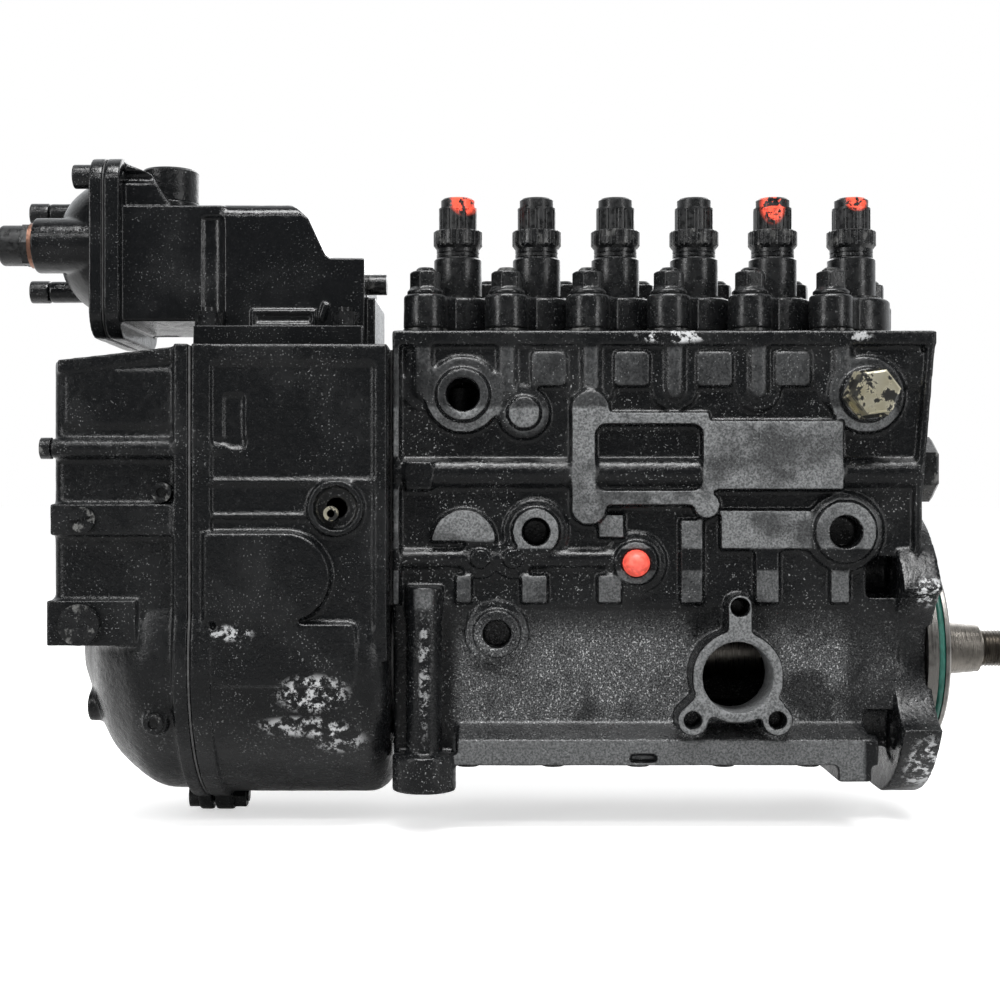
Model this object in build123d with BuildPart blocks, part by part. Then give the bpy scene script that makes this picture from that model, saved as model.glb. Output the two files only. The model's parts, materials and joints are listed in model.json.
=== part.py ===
from build123d import *
import os
from math import cos, sin, radians, asin, degrees

# Six-element in-line diesel injection pump with a mechanical governor and a boost compensator.
# Frame: origin where the camshaft axis meets the mounting face, +X towards the drive end, +Z up,
# and -Y towards the side that carries the feed-pump pad (the front).

# ---------------------------------------------------------------- driving dimensions (mm)
element_count = 6
element_pitch = 35.0
drive_end_to_last_element = 25.6

running_fit = 0.05          # radial clearance of a turning or sliding fit
free_gap = 0.4              # clearance between curved faces that only pass each other
seat_gap = 0.05             # radial clearance of a seated, fixed fit

# pump housing casting
housing_length = 226.9
housing_top = 136.7
upper_half_width = 42.0
rim_stand = 4.0
rim_height = 6.2
rim_width = 3.4
ledge_z = 22.0
lower_half_width = 37.5
lower_wall_bottom = -27.6
foot_half_width = 50.0
foot_top = -33.5
foot_bottom = -44.1
casting_wall = 7.0
end_wall = 14.0

# mounting flange and pilot
flange_thickness = 16.0
flange_radius = 61.0
scallop_radius = 31.0
scallop_depth = 36.0
mount_hole_radius = 5.5
mount_hole_circle = 95.0
mount_spotface_radius = 11.5
mount_pocket = 12.5
pilot_seat_depth = 2.0
pilot_seat_radius = 40.6
pilot_radius = 40.0
pilot_height = 7.8
o_ring_thickness = 3.0

# camshaft and bearings
shaft_radius = 12.5
cam_base_radius = 14.0
cam_lift = 10.0
cam_width = 15.0
bearing_outer_radius = 26.0
spigot_radius = bearing_outer_radius + 2.0
bearing_width = 15.0
taper_small_radius = 10.4
taper_large_radius = 12.2
taper_end_x = 30.0
thread_radius = 8.0
thread_pitch = 1.5
shaft_end_x = 46.5

# pumping element
barrel_flange_thickness = 15.0
shim_thickness = 2.6
flange_disc_radius = 17.0
stud_offset_x = 13.4
stud_offset_y = 21.5
ear_radius = 9.6
stud_radius = 4.0
nut_across_flats = 12.0
nut_height = 7.4
holder_radius = 10.6
holder_neck_radius = 9.5
serration_radius = 10.85
serration_count = 24
cap_lower_radius = 8.45
cap_upper_radius = 7.5
cap_top = 199.6
plunger_radius = 6.0
barrel_radius = 13.0
barrel_neck_radius = 8.6
sleeve_radius = 11.4
arm_length = 27.0

# rack
rack_y = -27.0
rack_z = 78.0
rack_radius = 5.0
rack_travel = 10.5          # either way from mid travel

# tappet and spring column
roller_radius = 8.0
roller_clearance = 1.0
tappet_radius = 13.6
tappet_height = 24.0
seat_thickness = 2.0
spring_wire = 2.4
spring_radius = 9.6

# governor housing and cover
governor_left = -307.7
bell_radius = 62.6
governor_top = 129.6
governor_half_width = 60.0
cover_left = -365.0
cover_flange = 6.4
governor_wall = 5.0

# boost compensator
boost_axis_z = 177.5

# ---------------------------------------------------------------- derived places
housing_left = -housing_length
last_element_x = -drive_end_to_last_element
element_xs = [last_element_x - element_pitch * n for n in reversed(range(element_count))]
lobe_radius = cam_base_radius + cam_lift
roller_z = lobe_radius + roller_clearance + roller_radius
tappet_bottom = roller_z - 4.5
tappet_top = tappet_bottom + tappet_height
spring_bottom = tappet_top + seat_thickness
spring_length = 16.0
upper_seat_z = spring_bottom + spring_length
sleeve_bottom = upper_seat_z + seat_thickness + free_gap
sleeve_height = 13.0
barrel_shoulder = sleeve_bottom + sleeve_height + free_gap
shim_top = housing_top + shim_thickness
barrel_flange_top = shim_top + barrel_flange_thickness
barrel_top = housing_top - 3.0
tube_radius = barrel_radius + 2.6
tube_bottom = barrel_shoulder + 8.0
tube_lip = 3.0
front_rim_y = -(upper_half_width + rim_stand)
chamber_left = housing_left + 16.0
chamber_right = -39.0
front_studs = [(x - stud_offset_x, -stud_offset_y) for x in element_xs]
rear_studs = [(x + stud_offset_x, stud_offset_y) for x in element_xs]
mount_angles = [45 + 90 * n for n in range(4)]
mount_points = [
    (mount_hole_circle / 2 * cos(radians(a)), mount_hole_circle / 2 * sin(radians(a))) for a in mount_angles
]

BASE = (Align.CENTER, Align.CENTER, Align.MIN)
TOP = (Align.CENTER, Align.CENTER, Align.MAX)

os.makedirs("parts", exist_ok=True)


def to_front(x, y, z):
    """A place whose Z points to the front (-Y) and whose X points along +X."""
    return Plane(origin=(x, y, z), x_dir=(1, 0, 0), z_dir=(0, -1, 0)).location


def to_back(x, y, z):
    """A place whose Z points to the back (+Y)."""
    return Plane(origin=(x, y, z), x_dir=(-1, 0, 0), z_dir=(0, 1, 0)).location


def to_drive(x, y, z):
    """A place whose Z points to the drive end (+X) and whose X points along +Y."""
    return Plane(origin=(x, y, z), x_dir=(0, 1, 0), z_dir=(1, 0, 0)).location


def to_governor(x, y, z):
    """A place whose Z points to the governor end (-X) and whose X points along -Y."""
    return Plane(origin=(x, y, z), x_dir=(0, -1, 0), z_dir=(-1, 0, 0)).location


def save(builder, name):
    """Label a finished piece and write it under the same name."""
    builder.part.label = name
    export_step(builder.part, "parts/" + name + ".step")


# ================================================================ pump body
rib_radius = 5.75
rib_axis_y = upper_half_width - 1.5
rib_low = 112.0
shelf_low = 113.4
shelf_stand = 1.6
square_pad_side = 14.6
square_pad_stand = 3.2
square_pad_xs = [-161.5, -126.9, -92.3, -59.8]
square_pad_z = 120.6
end_top_x = 0.0
end_waist_x = -6.0
end_waist_z = 65.0
end_foot_z = 31.0
flange_half_span = 56.0
pad_face = upper_half_width + 5.6
rack_tube_radius = 6.4
feed_pad_x = -84.0
feed_pad_z = -7.1
feed_pad_face = 54.0
feed_ring_radius = 19.2
feed_bore_radius = 14.5
column_x = -213.5
column_y = -45.0
column_radius = 7.7
column_base_radius = 13.4
column_base_top = -39.6
column_bottom = -54.9
column_bore_radius = 5.5
inlet_port = (-197.3, 109.7)
outlet_port = (-29.0, 109.7)
port_ring_radius = 11.2
port_bore_radius = 6.7
gallery_y = -20.0
gallery_radius = 6.0
side_bosses = [
    # x, z, boss radius, bore radius, face distance from the camshaft plane
    (-166.9, 52.6, 10.0, 5.6, upper_half_width + 4.5),
    (-38.1, 52.6, 13.0, 6.7, upper_half_width + 5.5),
    (-183.2, 10.1, 10.0, 5.8, upper_half_width + 4.0),
    (-125.2, 39.6, 9.2, 5.6, upper_half_width + 4.5),
]
side_bore_depth = 13.0
flat_discs = [
    # x, z, radius, stand above the wall
    (-171.9, 102.2, 7.0, 5.0),
    (-190.2, 41.4, 4.2, 4.4),
    (-176.5, 41.4, 4.2, 4.4),
]
flat_pads = [
    # left x, right x, bottom z, top z
    (-200.6, -193.6, 22.6, 34.6),
    (-173.2, -161.9, 22.6, 34.6),
    (-141.5, -131.1, 22.6, 34.6),
    (-106.9, -96.9, 22.6, 57.6),
    (-75.6, -65.2, 22.6, 43.8),
    (-90.2, -52.7, 45.0, 61.7),
    (-44.4, -36.0, 22.6, 35.5),
    (-141.0, -130.0, 50.0, 60.0),
]
flat_pad_stand = 3.4
slot_left = -128.0
slot_right = -117.0
cover_recess = 4.0
cover_half_width = 37.0
cover_left_x = chamber_left + 10.0
cover_right_x = -46.0
plug_seat_x = -4.6
barrel_bore_radius = tube_radius + seat_gap

with BuildPart() as pump_housing:
    # body section across the camshaft axis, wide above the ledge, with a spread foot
    with BuildSketch(Plane.YZ.offset(housing_left)):
        with BuildLine():
            Polyline(
                (-upper_half_width, housing_top),
                (-upper_half_width, ledge_z),
                (-lower_half_width, ledge_z - 14.0),
                (-lower_half_width, lower_wall_bottom),
                (-foot_half_width, foot_top),
                (-foot_half_width, foot_bottom),
                (foot_half_width, foot_bottom),
                (foot_half_width, foot_top),
                (lower_half_width, lower_wall_bottom),
                (lower_half_width, ledge_z - 14.0),
                (upper_half_width, ledge_z),
                (upper_half_width, housing_top),
                close=True,
            )
        make_face()
    extrude(amount=housing_length - flange_thickness + 2.0)
    # the foot stops short of both ends
    foot_left_gap = 27.0
    with Locations((housing_left, 0, foot_bottom)):
        Box(foot_left_gap, 2 * foot_half_width, lower_wall_bottom - foot_bottom + 3.0,
            align=(Align.MIN, Align.CENTER, Align.MIN), mode=Mode.SUBTRACT)
    with Locations((housing_left, 0, foot_bottom)):
        Box(foot_left_gap, 2 * lower_half_width, lower_wall_bottom - foot_bottom + 3.0,
            align=(Align.MIN, Align.CENTER, Align.MIN))
    with Locations((-flange_thickness + 2.0, 0, foot_bottom)):
        Box(11.0, 2 * foot_half_width, lower_wall_bottom - foot_bottom,
            align=(Align.MAX, Align.CENTER, Align.MIN), mode=Mode.SUBTRACT)
    # deep corner block beside the flange
    with Locations((-28.0, 0, -51.0)):
        Box(14.0, 2 * foot_half_width, 51.0 + foot_top, align=(Align.MAX, Align.CENTER, Align.MIN))
    # rims along the top and down both ends
    with Locations((housing_left, 0, housing_top)):
        Box(housing_length + end_top_x, 2 * (upper_half_width + rim_stand), rim_height,
            align=(Align.MIN, Align.CENTER, Align.MAX))
    with Locations((housing_left, 0, ledge_z)):
        Box(rim_width, 2 * (upper_half_width + rim_stand), housing_top - ledge_z,
            align=(Align.MIN, Align.CENTER, Align.MIN))
    with BuildSketch(Plane.XZ):
        with BuildLine():
            Polyline(
                (-flange_thickness - 2.0, housing_top),
                (end_top_x, housing_top),
                (end_waist_x, end_waist_z),
                (end_waist_x, end_foot_z + 9.0),
                (end_waist_x - 8.0, end_foot_z),
                (-flange_thickness - 2.0, end_foot_z),
                close=True,
            )
        make_face()
    extrude(amount=upper_half_width, both=True)
    with BuildSketch(Plane.XZ):
        with BuildLine():
            Polyline(
                (end_top_x - rim_width, housing_top),
                (end_top_x, housing_top),
                (end_waist_x, end_waist_z),
                (end_waist_x, end_foot_z + 16.0),
                (end_waist_x - rim_width, end_foot_z + 12.0),
                (end_waist_x - rim_width, end_waist_z),
                close=True,
            )
        make_face()
    extrude(amount=upper_half_width + rim_stand, both=True)
    # mounting flange: a disc with a flat foot and a scallop on either side
    with BuildSketch(Plane.YZ.offset(-flange_thickness)):
        Circle(flange_radius + 1.5)
        with Locations((-scallop_depth - scallop_radius, 0), (scallop_depth + scallop_radius, 0)):
            Circle(scallop_radius, mode=Mode.SUBTRACT)
        with Locations((0, -flange_radius)):
            Rectangle(2 * flange_radius, flange_radius, align=(Align.CENTER, Align.MAX), mode=Mode.SUBTRACT)
        Rectangle(2 * flange_half_span, 3 * flange_radius, mode=Mode.INTERSECT)
    extrude(amount=flange_thickness)
    # neck between the flange and the body
    with BuildSketch(Plane.YZ.offset(-flange_thickness - 12.0)):
        Rectangle(2 * scallop_depth, 2 * scallop_depth + 8.0)
    extrude(amount=14.0)
    # half-round ribs around the stud holes, on a shelf under the top rim
    for stud_x, side in [(x, -1) for x, y in front_studs] + [(x, 1) for x, y in rear_studs]:
        with Locations((stud_x, side * rib_axis_y, rib_low)):
            Cylinder(rib_radius, housing_top - rib_low - 1.0, align=BASE)
            Sphere(rib_radius)
    for plane in (Plane.XZ.offset(upper_half_width), Plane.XZ.offset(-upper_half_width - shelf_stand)):
        with BuildSketch(plane):
            with Locations(((housing_left + end_top_x) / 2, shelf_low)):
                Rectangle(housing_length - 12.0, housing_top - shelf_low, align=(Align.CENTER, Align.MIN))
            with Locations(*[(x, rib_low + 0.6) for x, y in (front_studs if plane.origin.Y < 0 else rear_studs)]):
                Circle(rib_radius + 3.6)
        extrude(amount=shelf_stand)
    for plane in (Plane.XZ.offset(upper_half_width), Plane.XZ.offset(-upper_half_width - square_pad_stand)):
        with BuildSketch(plane):
            with Locations(*[(x, square_pad_z) for x in square_pad_xs]):
                RectangleRounded(square_pad_side, square_pad_side, 2.0)
        extrude(amount=square_pad_stand)
    # rack tube: a bulge along the wall in front of the rack
    with Locations(to_drive(housing_left, -upper_half_width + 1.6, rack_z - 0.8)):
        Cylinder(rack_tube_radius, housing_length + end_waist_x, align=BASE)
    # lower bulge with the small discs
    with Locations(to_drive(housing_left, -upper_half_width + 1.0, 41.4)):
        Cylinder(4.2, 96.0, align=BASE)
    # machined pads of the side wall
    with BuildSketch(Plane.XZ.offset(upper_half_width)):
        with Locations((-147.1, 83.0)):
            Rectangle(10.4, 42.0)
        with Locations((-144.4, 103.4)):
            Circle(8.3)
        with Locations((-145.0, 62.8)):
            Circle(7.5)
        with Locations((-119.8, 83.0)):
            Rectangle(50.0, 39.0)
        with Locations((-96.0, 63.8)):
            Circle(5.7)
        with Locations((-66.5, 84.6)):
            Rectangle(55.0, 29.1)
        with Locations((-119.8, 83.6)):
            RectangleRounded(44.2, 27.1, 4.0, mode=Mode.SUBTRACT)
    extrude(amount=pad_face - upper_half_width)
    # ports and bosses of the upper front wall
    for port_x, port_z in (inlet_port, outlet_port):
        with Locations(to_front(port_x, -upper_half_width, port_z)):
            Cylinder(16.0, 3.4, align=BASE)
            Cylinder(port_ring_radius, 7.4, align=BASE)
    for x, z, radius, stand in flat_discs:
        with Locations(to_front(x, -upper_half_width, z)):
            Cylinder(radius, stand, align=BASE)
            Cylinder(radius + 4.0, stand - 2.4, align=BASE)
    for left, right, bottom, top in flat_pads:
        with Locations(to_front((left + right) / 2, -upper_half_width, (bottom + top) / 2)):
            Box(right - left, top - bottom, flat_pad_stand, align=BASE)
    with BuildSketch(Plane.XZ.offset(upper_half_width)):
        with Locations((-197.0, 48.4)):
            Circle(13.8)
        with Locations((-197.0, 48.4)):
            Rectangle(28.0, 14.0, align=(Align.CENTER, Align.MAX), mode=Mode.SUBTRACT)
    extrude(amount=flat_pad_stand)
    with Locations(to_front(-215.8, -upper_half_width, 76.0)):
        Box(11.5, 12.0, flat_pad_stand + 2.0, align=BASE)
    for x, z, radius, bore, face in side_bosses:
        with Locations(to_front(x, -lower_half_width + 2.0, z)):
            Cylinder(radius, face - lower_half_width + 2.0, align=BASE)
            Cylinder(radius + 3.5, face - lower_half_width - 1.0, align=BASE)
    # back wall: rack cover boss, gallery boss and two bracket pads
    for x, z, radius in ((-197.3, 109.7, 12.0), (-29.0, 109.7, 12.0), (-166.9, 52.6, 11.0), (-50.0, 52.6, 11.0)):
        with Locations(to_back(x, upper_half_width, z)):
            Cylinder(radius, 5.0, align=BASE)
    with BuildSketch(Plane.XZ.offset(-upper_half_width - 4.0)):
        with Locations((-113.0, 78.0)):
            RectangleRounded(92.0, 34.0, 6.0)
    extrude(amount=4.0)
    # feed-pump pad: ring, tongue with its stud hole and two lower lugs
    with BuildSketch(Plane.XZ.offset(lower_half_width - 1.0)):
        with Locations((feed_pad_x, feed_pad_z)):
            Circle(feed_ring_radius)
        with Locations((feed_pad_x + 1.0, feed_pad_z)):
            Rectangle(10.4, 30.0 - 1.5, align=(Align.CENTER, Align.MIN))
        with Locations((feed_pad_x + 1.0, 21.8)):
            Circle(5.2)
        with Locations((feed_pad_x - 18.5, -24.8), (feed_pad_x + 16.3, -24.8)):
            Circle(6.6)
        with Locations((feed_pad_x - 11.5, -17.0)):
            Rectangle(15.0, 11.0, rotation=42)
        with Locations((feed_pad_x + 10.5, -17.0)):
            Rectangle(15.0, 11.0, rotation=-42)
    extrude(amount=feed_pad_face - lower_half_width + 1.0)
    # bracket boss: a column down the corner with a thick round foot
    with Locations((column_x, column_y, column_bottom)):
        Cylinder(column_radius, ledge_z + 8.0 - column_bottom, align=BASE)
        Cylinder(column_base_radius, column_base_top - column_bottom, align=BASE)
    with Locations((column_x, column_y, column_bottom)):
        Box(2 * column_radius - 3.0, 14.0, ledge_z - column_bottom,
            align=(Align.CENTER, Align.MIN, Align.MIN))

    # ---- cavities
    with Locations((chamber_left, 0, foot_bottom + cover_recess)):
        Box(chamber_right - chamber_left, 2 * (lower_half_width - casting_wall), tappet_bottom - 3.0
            - foot_bottom - cover_recess, align=(Align.MIN, Align.CENTER, Align.MIN), mode=Mode.SUBTRACT)
    with Locations((cover_left_x, 0, foot_bottom)):
        Box(cover_right_x - cover_left_x, 2 * cover_half_width, cover_recess,
            align=(Align.MIN, Align.CENTER, Align.MIN), mode=Mode.SUBTRACT)
    # web that carries the centre bearing
    centre_x = (element_xs[0] + element_xs[-1]) / 2
    with Locations((centre_x, 0, foot_bottom + cover_recess)):
        Box(12.0, 2 * (lower_half_width - casting_wall) + 1.0, tappet_bottom - foot_bottom - cover_recess,
            align=(Align.CENTER, Align.CENTER, Align.MIN))
    # chamber of the plunger springs and control sleeves
    with Locations((chamber_left - 4.0, 0, tappet_top - 1.0)):
        Box(-12.0 - chamber_left + 4.0, 34.0, barrel_shoulder - tappet_top + 1.0,
            align=(Align.MIN, Align.CENTER, Align.MIN), mode=Mode.SUBTRACT)
    with Locations((chamber_left - 4.0, 0, sleeve_bottom - 3.0)):
        Box(-12.0 - chamber_left + 4.0, -rack_y + rack_radius + 2.0, barrel_shoulder - sleeve_bottom + 3.0,
            align=(Align.MIN, Align.MAX, Align.MIN), mode=Mode.SUBTRACT)
    # tappet bores, element bores and stud holes
    for x in element_xs:
        with Locations((x, 0, tappet_bottom - 4.0)):
            Cylinder(tappet_radius + running_fit, tappet_height + 5.0, align=BASE, mode=Mode.SUBTRACT)
        with Locations((x, 0, barrel_shoulder - 1.0)):
            Cylinder(barrel_bore_radius, housing_top - barrel_shoulder + 2.0, align=BASE, mode=Mode.SUBTRACT)
    with Locations(*[(x, y, housing_top) for x, y in front_studs + rear_studs]):
        Cylinder(stud_radius, 18.0, align=TOP, mode=Mode.SUBTRACT)
    # rack bore through both ends, and the seat of its end plug
    with Locations(to_drive(housing_left - 1.0, rack_y, rack_z)):
        Cylinder(rack_radius + running_fit, housing_length + 10.0, align=BASE, mode=Mode.SUBTRACT)
    with Locations(to_drive(plug_seat_x, rack_y, rack_z)):
        Cylinder(15.0, 10.0, align=BASE, mode=Mode.SUBTRACT)
    # fuel gallery and its two ports
    with Locations(to_drive(chamber_left, gallery_y, inlet_port[1])):
        Cylinder(gallery_radius, -16.0 - chamber_left, align=BASE, mode=Mode.SUBTRACT)
    for port_x, port_z in (inlet_port, outlet_port):
        with Locations(to_front(port_x, gallery_y, port_z)):
            Cylinder(port_bore_radius, 40.0, align=BASE, mode=Mode.SUBTRACT)
    # threaded blind holes of the bosses
    for x, z, radius, bore, face in side_bosses:
        with Locations(to_front(x, -face, z)):
            Cylinder(bore, side_bore_depth, align=TOP, mode=Mode.SUBTRACT)
    # feed-pump bore into the cam chamber and its three stud holes
    with Locations(to_front(feed_pad_x, -lower_half_width + casting_wall + 2.0, feed_pad_z)):
        Cylinder(feed_bore_radius, 40.0, align=BASE, mode=Mode.SUBTRACT)
    for x, z, bore in ((feed_pad_x + 1.0, 21.8, 3.7), (feed_pad_x - 18.5, -24.8, 3.4), (feed_pad_x + 16.3, -24.8, 3.4)):
        with Locations(to_front(x, -feed_pad_face, z)):
            Cylinder(bore, 12.0, align=TOP, mode=Mode.SUBTRACT)
    # bearing seats: governor end, centre web and drive end
    with Locations(to_drive(housing_left - 1.0, 0, 0)):
        Cylinder(bearing_outer_radius + seat_gap, bearing_width + 1.0, align=BASE, mode=Mode.SUBTRACT)
        Cylinder(lobe_radius + 0.8, 24.0, align=BASE, mode=Mode.SUBTRACT)
    with Locations(to_drive(centre_x - 10.0, 0, 0)):
        Cylinder(bearing_outer_radius + seat_gap, 20.0, align=BASE, mode=Mode.SUBTRACT)
    with Locations(to_drive(chamber_right - 1.0, 0, 0)):
        Cylinder(lobe_radius + 2.0, 30.0, align=BASE, mode=Mode.SUBTRACT)
    with Locations(to_drive(-24.0, 0, 0)):
        Cylinder(spigot_radius + seat_gap, 30.0, align=BASE, mode=Mode.SUBTRACT)
    # mounting holes and their rear spotfaces
    for y, z in mount_points:
        with Locations(to_drive(-flange_thickness - mount_pocket, y, z)):
            Cylinder(mount_hole_radius, 40.0, align=BASE, mode=Mode.SUBTRACT)
            Cylinder(mount_spotface_radius, mount_pocket + 0.6, align=BASE, mode=Mode.SUBTRACT)
    # counterbore that seats the end plate's disc
    with Locations(to_drive(-pilot_seat_depth, 0, 0)):
        Cylinder(pilot_seat_radius + seat_gap, pilot_seat_depth + 1.0, align=BASE, mode=Mode.SUBTRACT)
    # vertical bore of the bracket boss
    with Locations((column_x, column_y, column_bottom)):
        Cylinder(column_bore_radius, 30.0, align=BASE, mode=Mode.SUBTRACT)
    # milled slot in the front edge of the foot
    with Locations(to_front((slot_left + slot_right) / 2, -foot_half_width, -41.1)):
        Box(slot_right - slot_left, 3.3, 4.0, align=TOP, mode=Mode.SUBTRACT)
save(pump_housing, "pump_housing")

# bottom closure plate with two rows of countersunk screws
plate_gap = 0.1
plate_thickness = cover_recess - plate_gap
plate_length = cover_right_x - cover_left_x - 2 * plate_gap
plate_middle = (cover_left_x + cover_right_x) / 2
cover_screw_radius = 2.5
cover_screw_head = 4.6
cover_screw_rows = (5, 36.0)
cover_screw_y = lower_half_width - 3.8

with BuildPart() as bottom_cover:
    with Locations((plate_middle, 0, foot_bottom)):
        Box(plate_length, 2 * (cover_half_width - plate_gap), plate_thickness, align=BASE)
    with Locations(Plane(origin=(plate_middle, 0, foot_bottom), z_dir=(0, 0, -1))):
        with GridLocations(cover_screw_rows[1], 2 * cover_screw_y, cover_screw_rows[0], 2):
            Hole(cover_screw_radius + 0.3)
save(bottom_cover, "bottom_cover")

with BuildPart() as bottom_cover_screws:
    with Locations((plate_middle, 0, foot_bottom - 2.4)):
        with GridLocations(cover_screw_rows[1], 2 * cover_screw_y, cover_screw_rows[0], 2):
            Cylinder(cover_screw_head, 2.4, align=BASE)
            Cylinder(cover_screw_radius, 2.4 + plate_thickness, align=BASE)
    with Locations((plate_middle, 0, foot_bottom - 2.4)):
        with GridLocations(cover_screw_rows[1], 2 * cover_screw_y, cover_screw_rows[0], 2):
            Box(9.5, 1.2, 1.2, align=BASE, mode=Mode.SUBTRACT)
save(bottom_cover_screws, "bottom_cover_screws")

# ---------------------------------------------------------------- drive end
seal_bore_radius = 18.0
seal_width = 6.0
groove_left = 2.6
with BuildPart() as drive_end_plate:
    with BuildSketch(Plane.XY) as drive_end_section:
        with BuildLine():
            Polyline(
                (-flange_thickness, bearing_outer_radius + seat_gap),
                (-flange_thickness, spigot_radius),
                (-pilot_seat_depth, spigot_radius),
                (-pilot_seat_depth, pilot_seat_radius),
                (0.0, pilot_seat_radius),
                (0.0, pilot_radius),
                (groove_left, pilot_radius),
                (groove_left, pilot_radius - o_ring_thickness + 0.1),
                (groove_left + o_ring_thickness, pilot_radius - o_ring_thickness + 0.1),
                (groove_left + o_ring_thickness, pilot_radius),
                (pilot_height - 0.8, pilot_radius),
                (pilot_height, pilot_radius - 0.8),
                (pilot_height, seal_bore_radius),
                (pilot_height - seal_width, seal_bore_radius),
                (pilot_height - seal_width, taper_large_radius + 2.0),
                (-flange_thickness + bearing_width, taper_large_radius + 2.0),
                (-flange_thickness + bearing_width, bearing_outer_radius + seat_gap),
                close=True,
            )
        make_face()
    revolve(axis=Axis.X)
save(drive_end_plate, "drive_end_plate")

with BuildPart() as pilot_o_ring:
    with BuildSketch(Plane.XY):
        with Locations((groove_left + o_ring_thickness / 2, pilot_radius - o_ring_thickness / 2 + 0.2)):
            Circle(o_ring_thickness / 2 - 0.05)
    revolve(axis=Axis.X)
save(pilot_o_ring, "pilot_o_ring")

with BuildPart() as shaft_seal:
    with Locations(to_drive(pilot_height - seal_width, 0, 0)):
        Cylinder(seal_bore_radius - seat_gap, seal_width - 0.8, align=BASE)
        Cylinder(shaft_radius + running_fit, seal_width, align=BASE, mode=Mode.SUBTRACT)
    with Locations(to_drive(pilot_height - 2.2, 0, 0)):
        Cylinder(seal_bore_radius - 2.0, 3.0, align=BASE, mode=Mode.SUBTRACT)
        Cylinder(shaft_radius + 1.8, 1.2, align=BASE)
        Cylinder(shaft_radius + running_fit, 3.0, align=BASE, mode=Mode.SUBTRACT)
save(shaft_seal, "shaft_seal")

# ---------------------------------------------------------------- bearings
race_split_radius = 19.4

with BuildPart() as bearing_outer_races:
    with Locations(to_drive(housing_left + 0.1, 0, 0), to_governor(-flange_thickness + bearing_width - 0.1, 0, 0)):
        Cylinder(bearing_outer_radius, bearing_width - 0.2, align=BASE)
        Cylinder(race_split_radius + 2.6, bearing_width, align=BASE, mode=Mode.SUBTRACT)
save(bearing_outer_races, "bearing_outer_races")

bearing_roller_radius = 2.4
bearing_roller_count = 16
roller_ring_radius = shaft_radius + 3.0 + 0.3 + bearing_roller_radius
with BuildPart() as bearing_inner_races:
    for face in (to_drive(housing_left + 0.6, 0, 0), to_governor(-flange_thickness + bearing_width - 0.6, 0, 0)):
        with Locations(face):
            Cylinder(shaft_radius + 3.0, bearing_width - 1.4, align=BASE)
            Cylinder(shaft_radius, bearing_width, align=BASE, mode=Mode.SUBTRACT)
        with Locations(face):
            with PolarLocations(roller_ring_radius, bearing_roller_count):
                Cylinder(bearing_roller_radius + 0.35, bearing_width - 3.0, align=BASE)
save(bearing_inner_races, "bearing_inner_races")

with BuildPart() as centre_bearing:
    with Locations(to_drive(centre_x - 6.0, 0, 0)):
        Cylinder(bearing_outer_radius, 12.0, align=BASE)
        Cylinder(shaft_radius + 0.08, 12.0, align=BASE, mode=Mode.SUBTRACT)
    with Locations((centre_x, 0, 0)):
        Box(13.0, 60.0, 0.2, mode=Mode.SUBTRACT)
save(centre_bearing, "centre_bearing_shells")

# ---------------------------------------------------------------- camshaft
firing_order = [1, 5, 3, 6, 2, 4]
lobe_nose_radius = 7.0
feed_cam_x = -78.1
feed_cam_throw = 3.0
governor_journal_left = -262.0
carrier_seat_radius = 10.0
thread_start_x = taper_end_x + 1.6
thread_depth = 0.9
thread_turns = int((shaft_end_x - 1.2 - thread_start_x) / thread_pitch)

with BuildPart() as camshaft:
    with BuildSketch(Plane.XY):
        with BuildLine():
            # shaft outline from the governor end to the threaded drive end
            Polyline(
                (governor_journal_left, 0),
                (governor_journal_left, carrier_seat_radius - 3.0),
                (governor_journal_left + 12.0, carrier_seat_radius - 3.0),
                (governor_journal_left + 12.0, carrier_seat_radius),
                (housing_left - 4.0, carrier_seat_radius),
                (housing_left - 4.0, shaft_radius),
                (pilot_height, shaft_radius),
                (pilot_height + 1.0, taper_large_radius),
                (taper_end_x, taper_small_radius),
                (taper_end_x + 0.6, thread_radius - thread_depth),
                (thread_start_x, thread_radius - thread_depth),
                *[
                    point
                    for n in range(thread_turns)
                    for point in (
                        (thread_start_x + (n + 0.5) * thread_pitch, thread_radius),
                        (thread_start_x + (n + 1) * thread_pitch, thread_radius - thread_depth),
                    )
                ],
                (shaft_end_x, thread_radius - thread_depth),
                (shaft_end_x, 0),
                close=True,
            )
        make_face()
    revolve(axis=Axis.X)
    for number, x in enumerate(element_xs, start=1):
        phase = firing_order.index(number) * 360 / element_count
        lobe_plane = Plane(origin=(x - cam_width / 2, 0, 0), x_dir=(0, cos(radians(phase)), sin(radians(phase))), z_dir=(1, 0, 0))
        with BuildSketch(lobe_plane):
            Circle(cam_base_radius)
            with Locations((0, lobe_radius - lobe_nose_radius)):
                Circle(lobe_nose_radius)
            make_hull()
        extrude(amount=cam_width)
    with Locations(to_drive(feed_cam_x - 4.0, feed_cam_throw, 0)):
        Cylinder(cam_base_radius + 1.0, 8.0, align=BASE)
save(camshaft, "camshaft")

# ================================================================ pumping elements
column_places = [(x, 0, 0) for x in element_xs]
valve_seat_z = barrel_top
holder_base_top = barrel_flange_top + 1.2
holder_groove_z = 172.9
serration_bottom = 177.7
serration_top = 185.1
cap_step_z = 195.3
thread_tip_z = 193.0
thread_tip_radius = 6.9
holder_base_radius = barrel_radius

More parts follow.
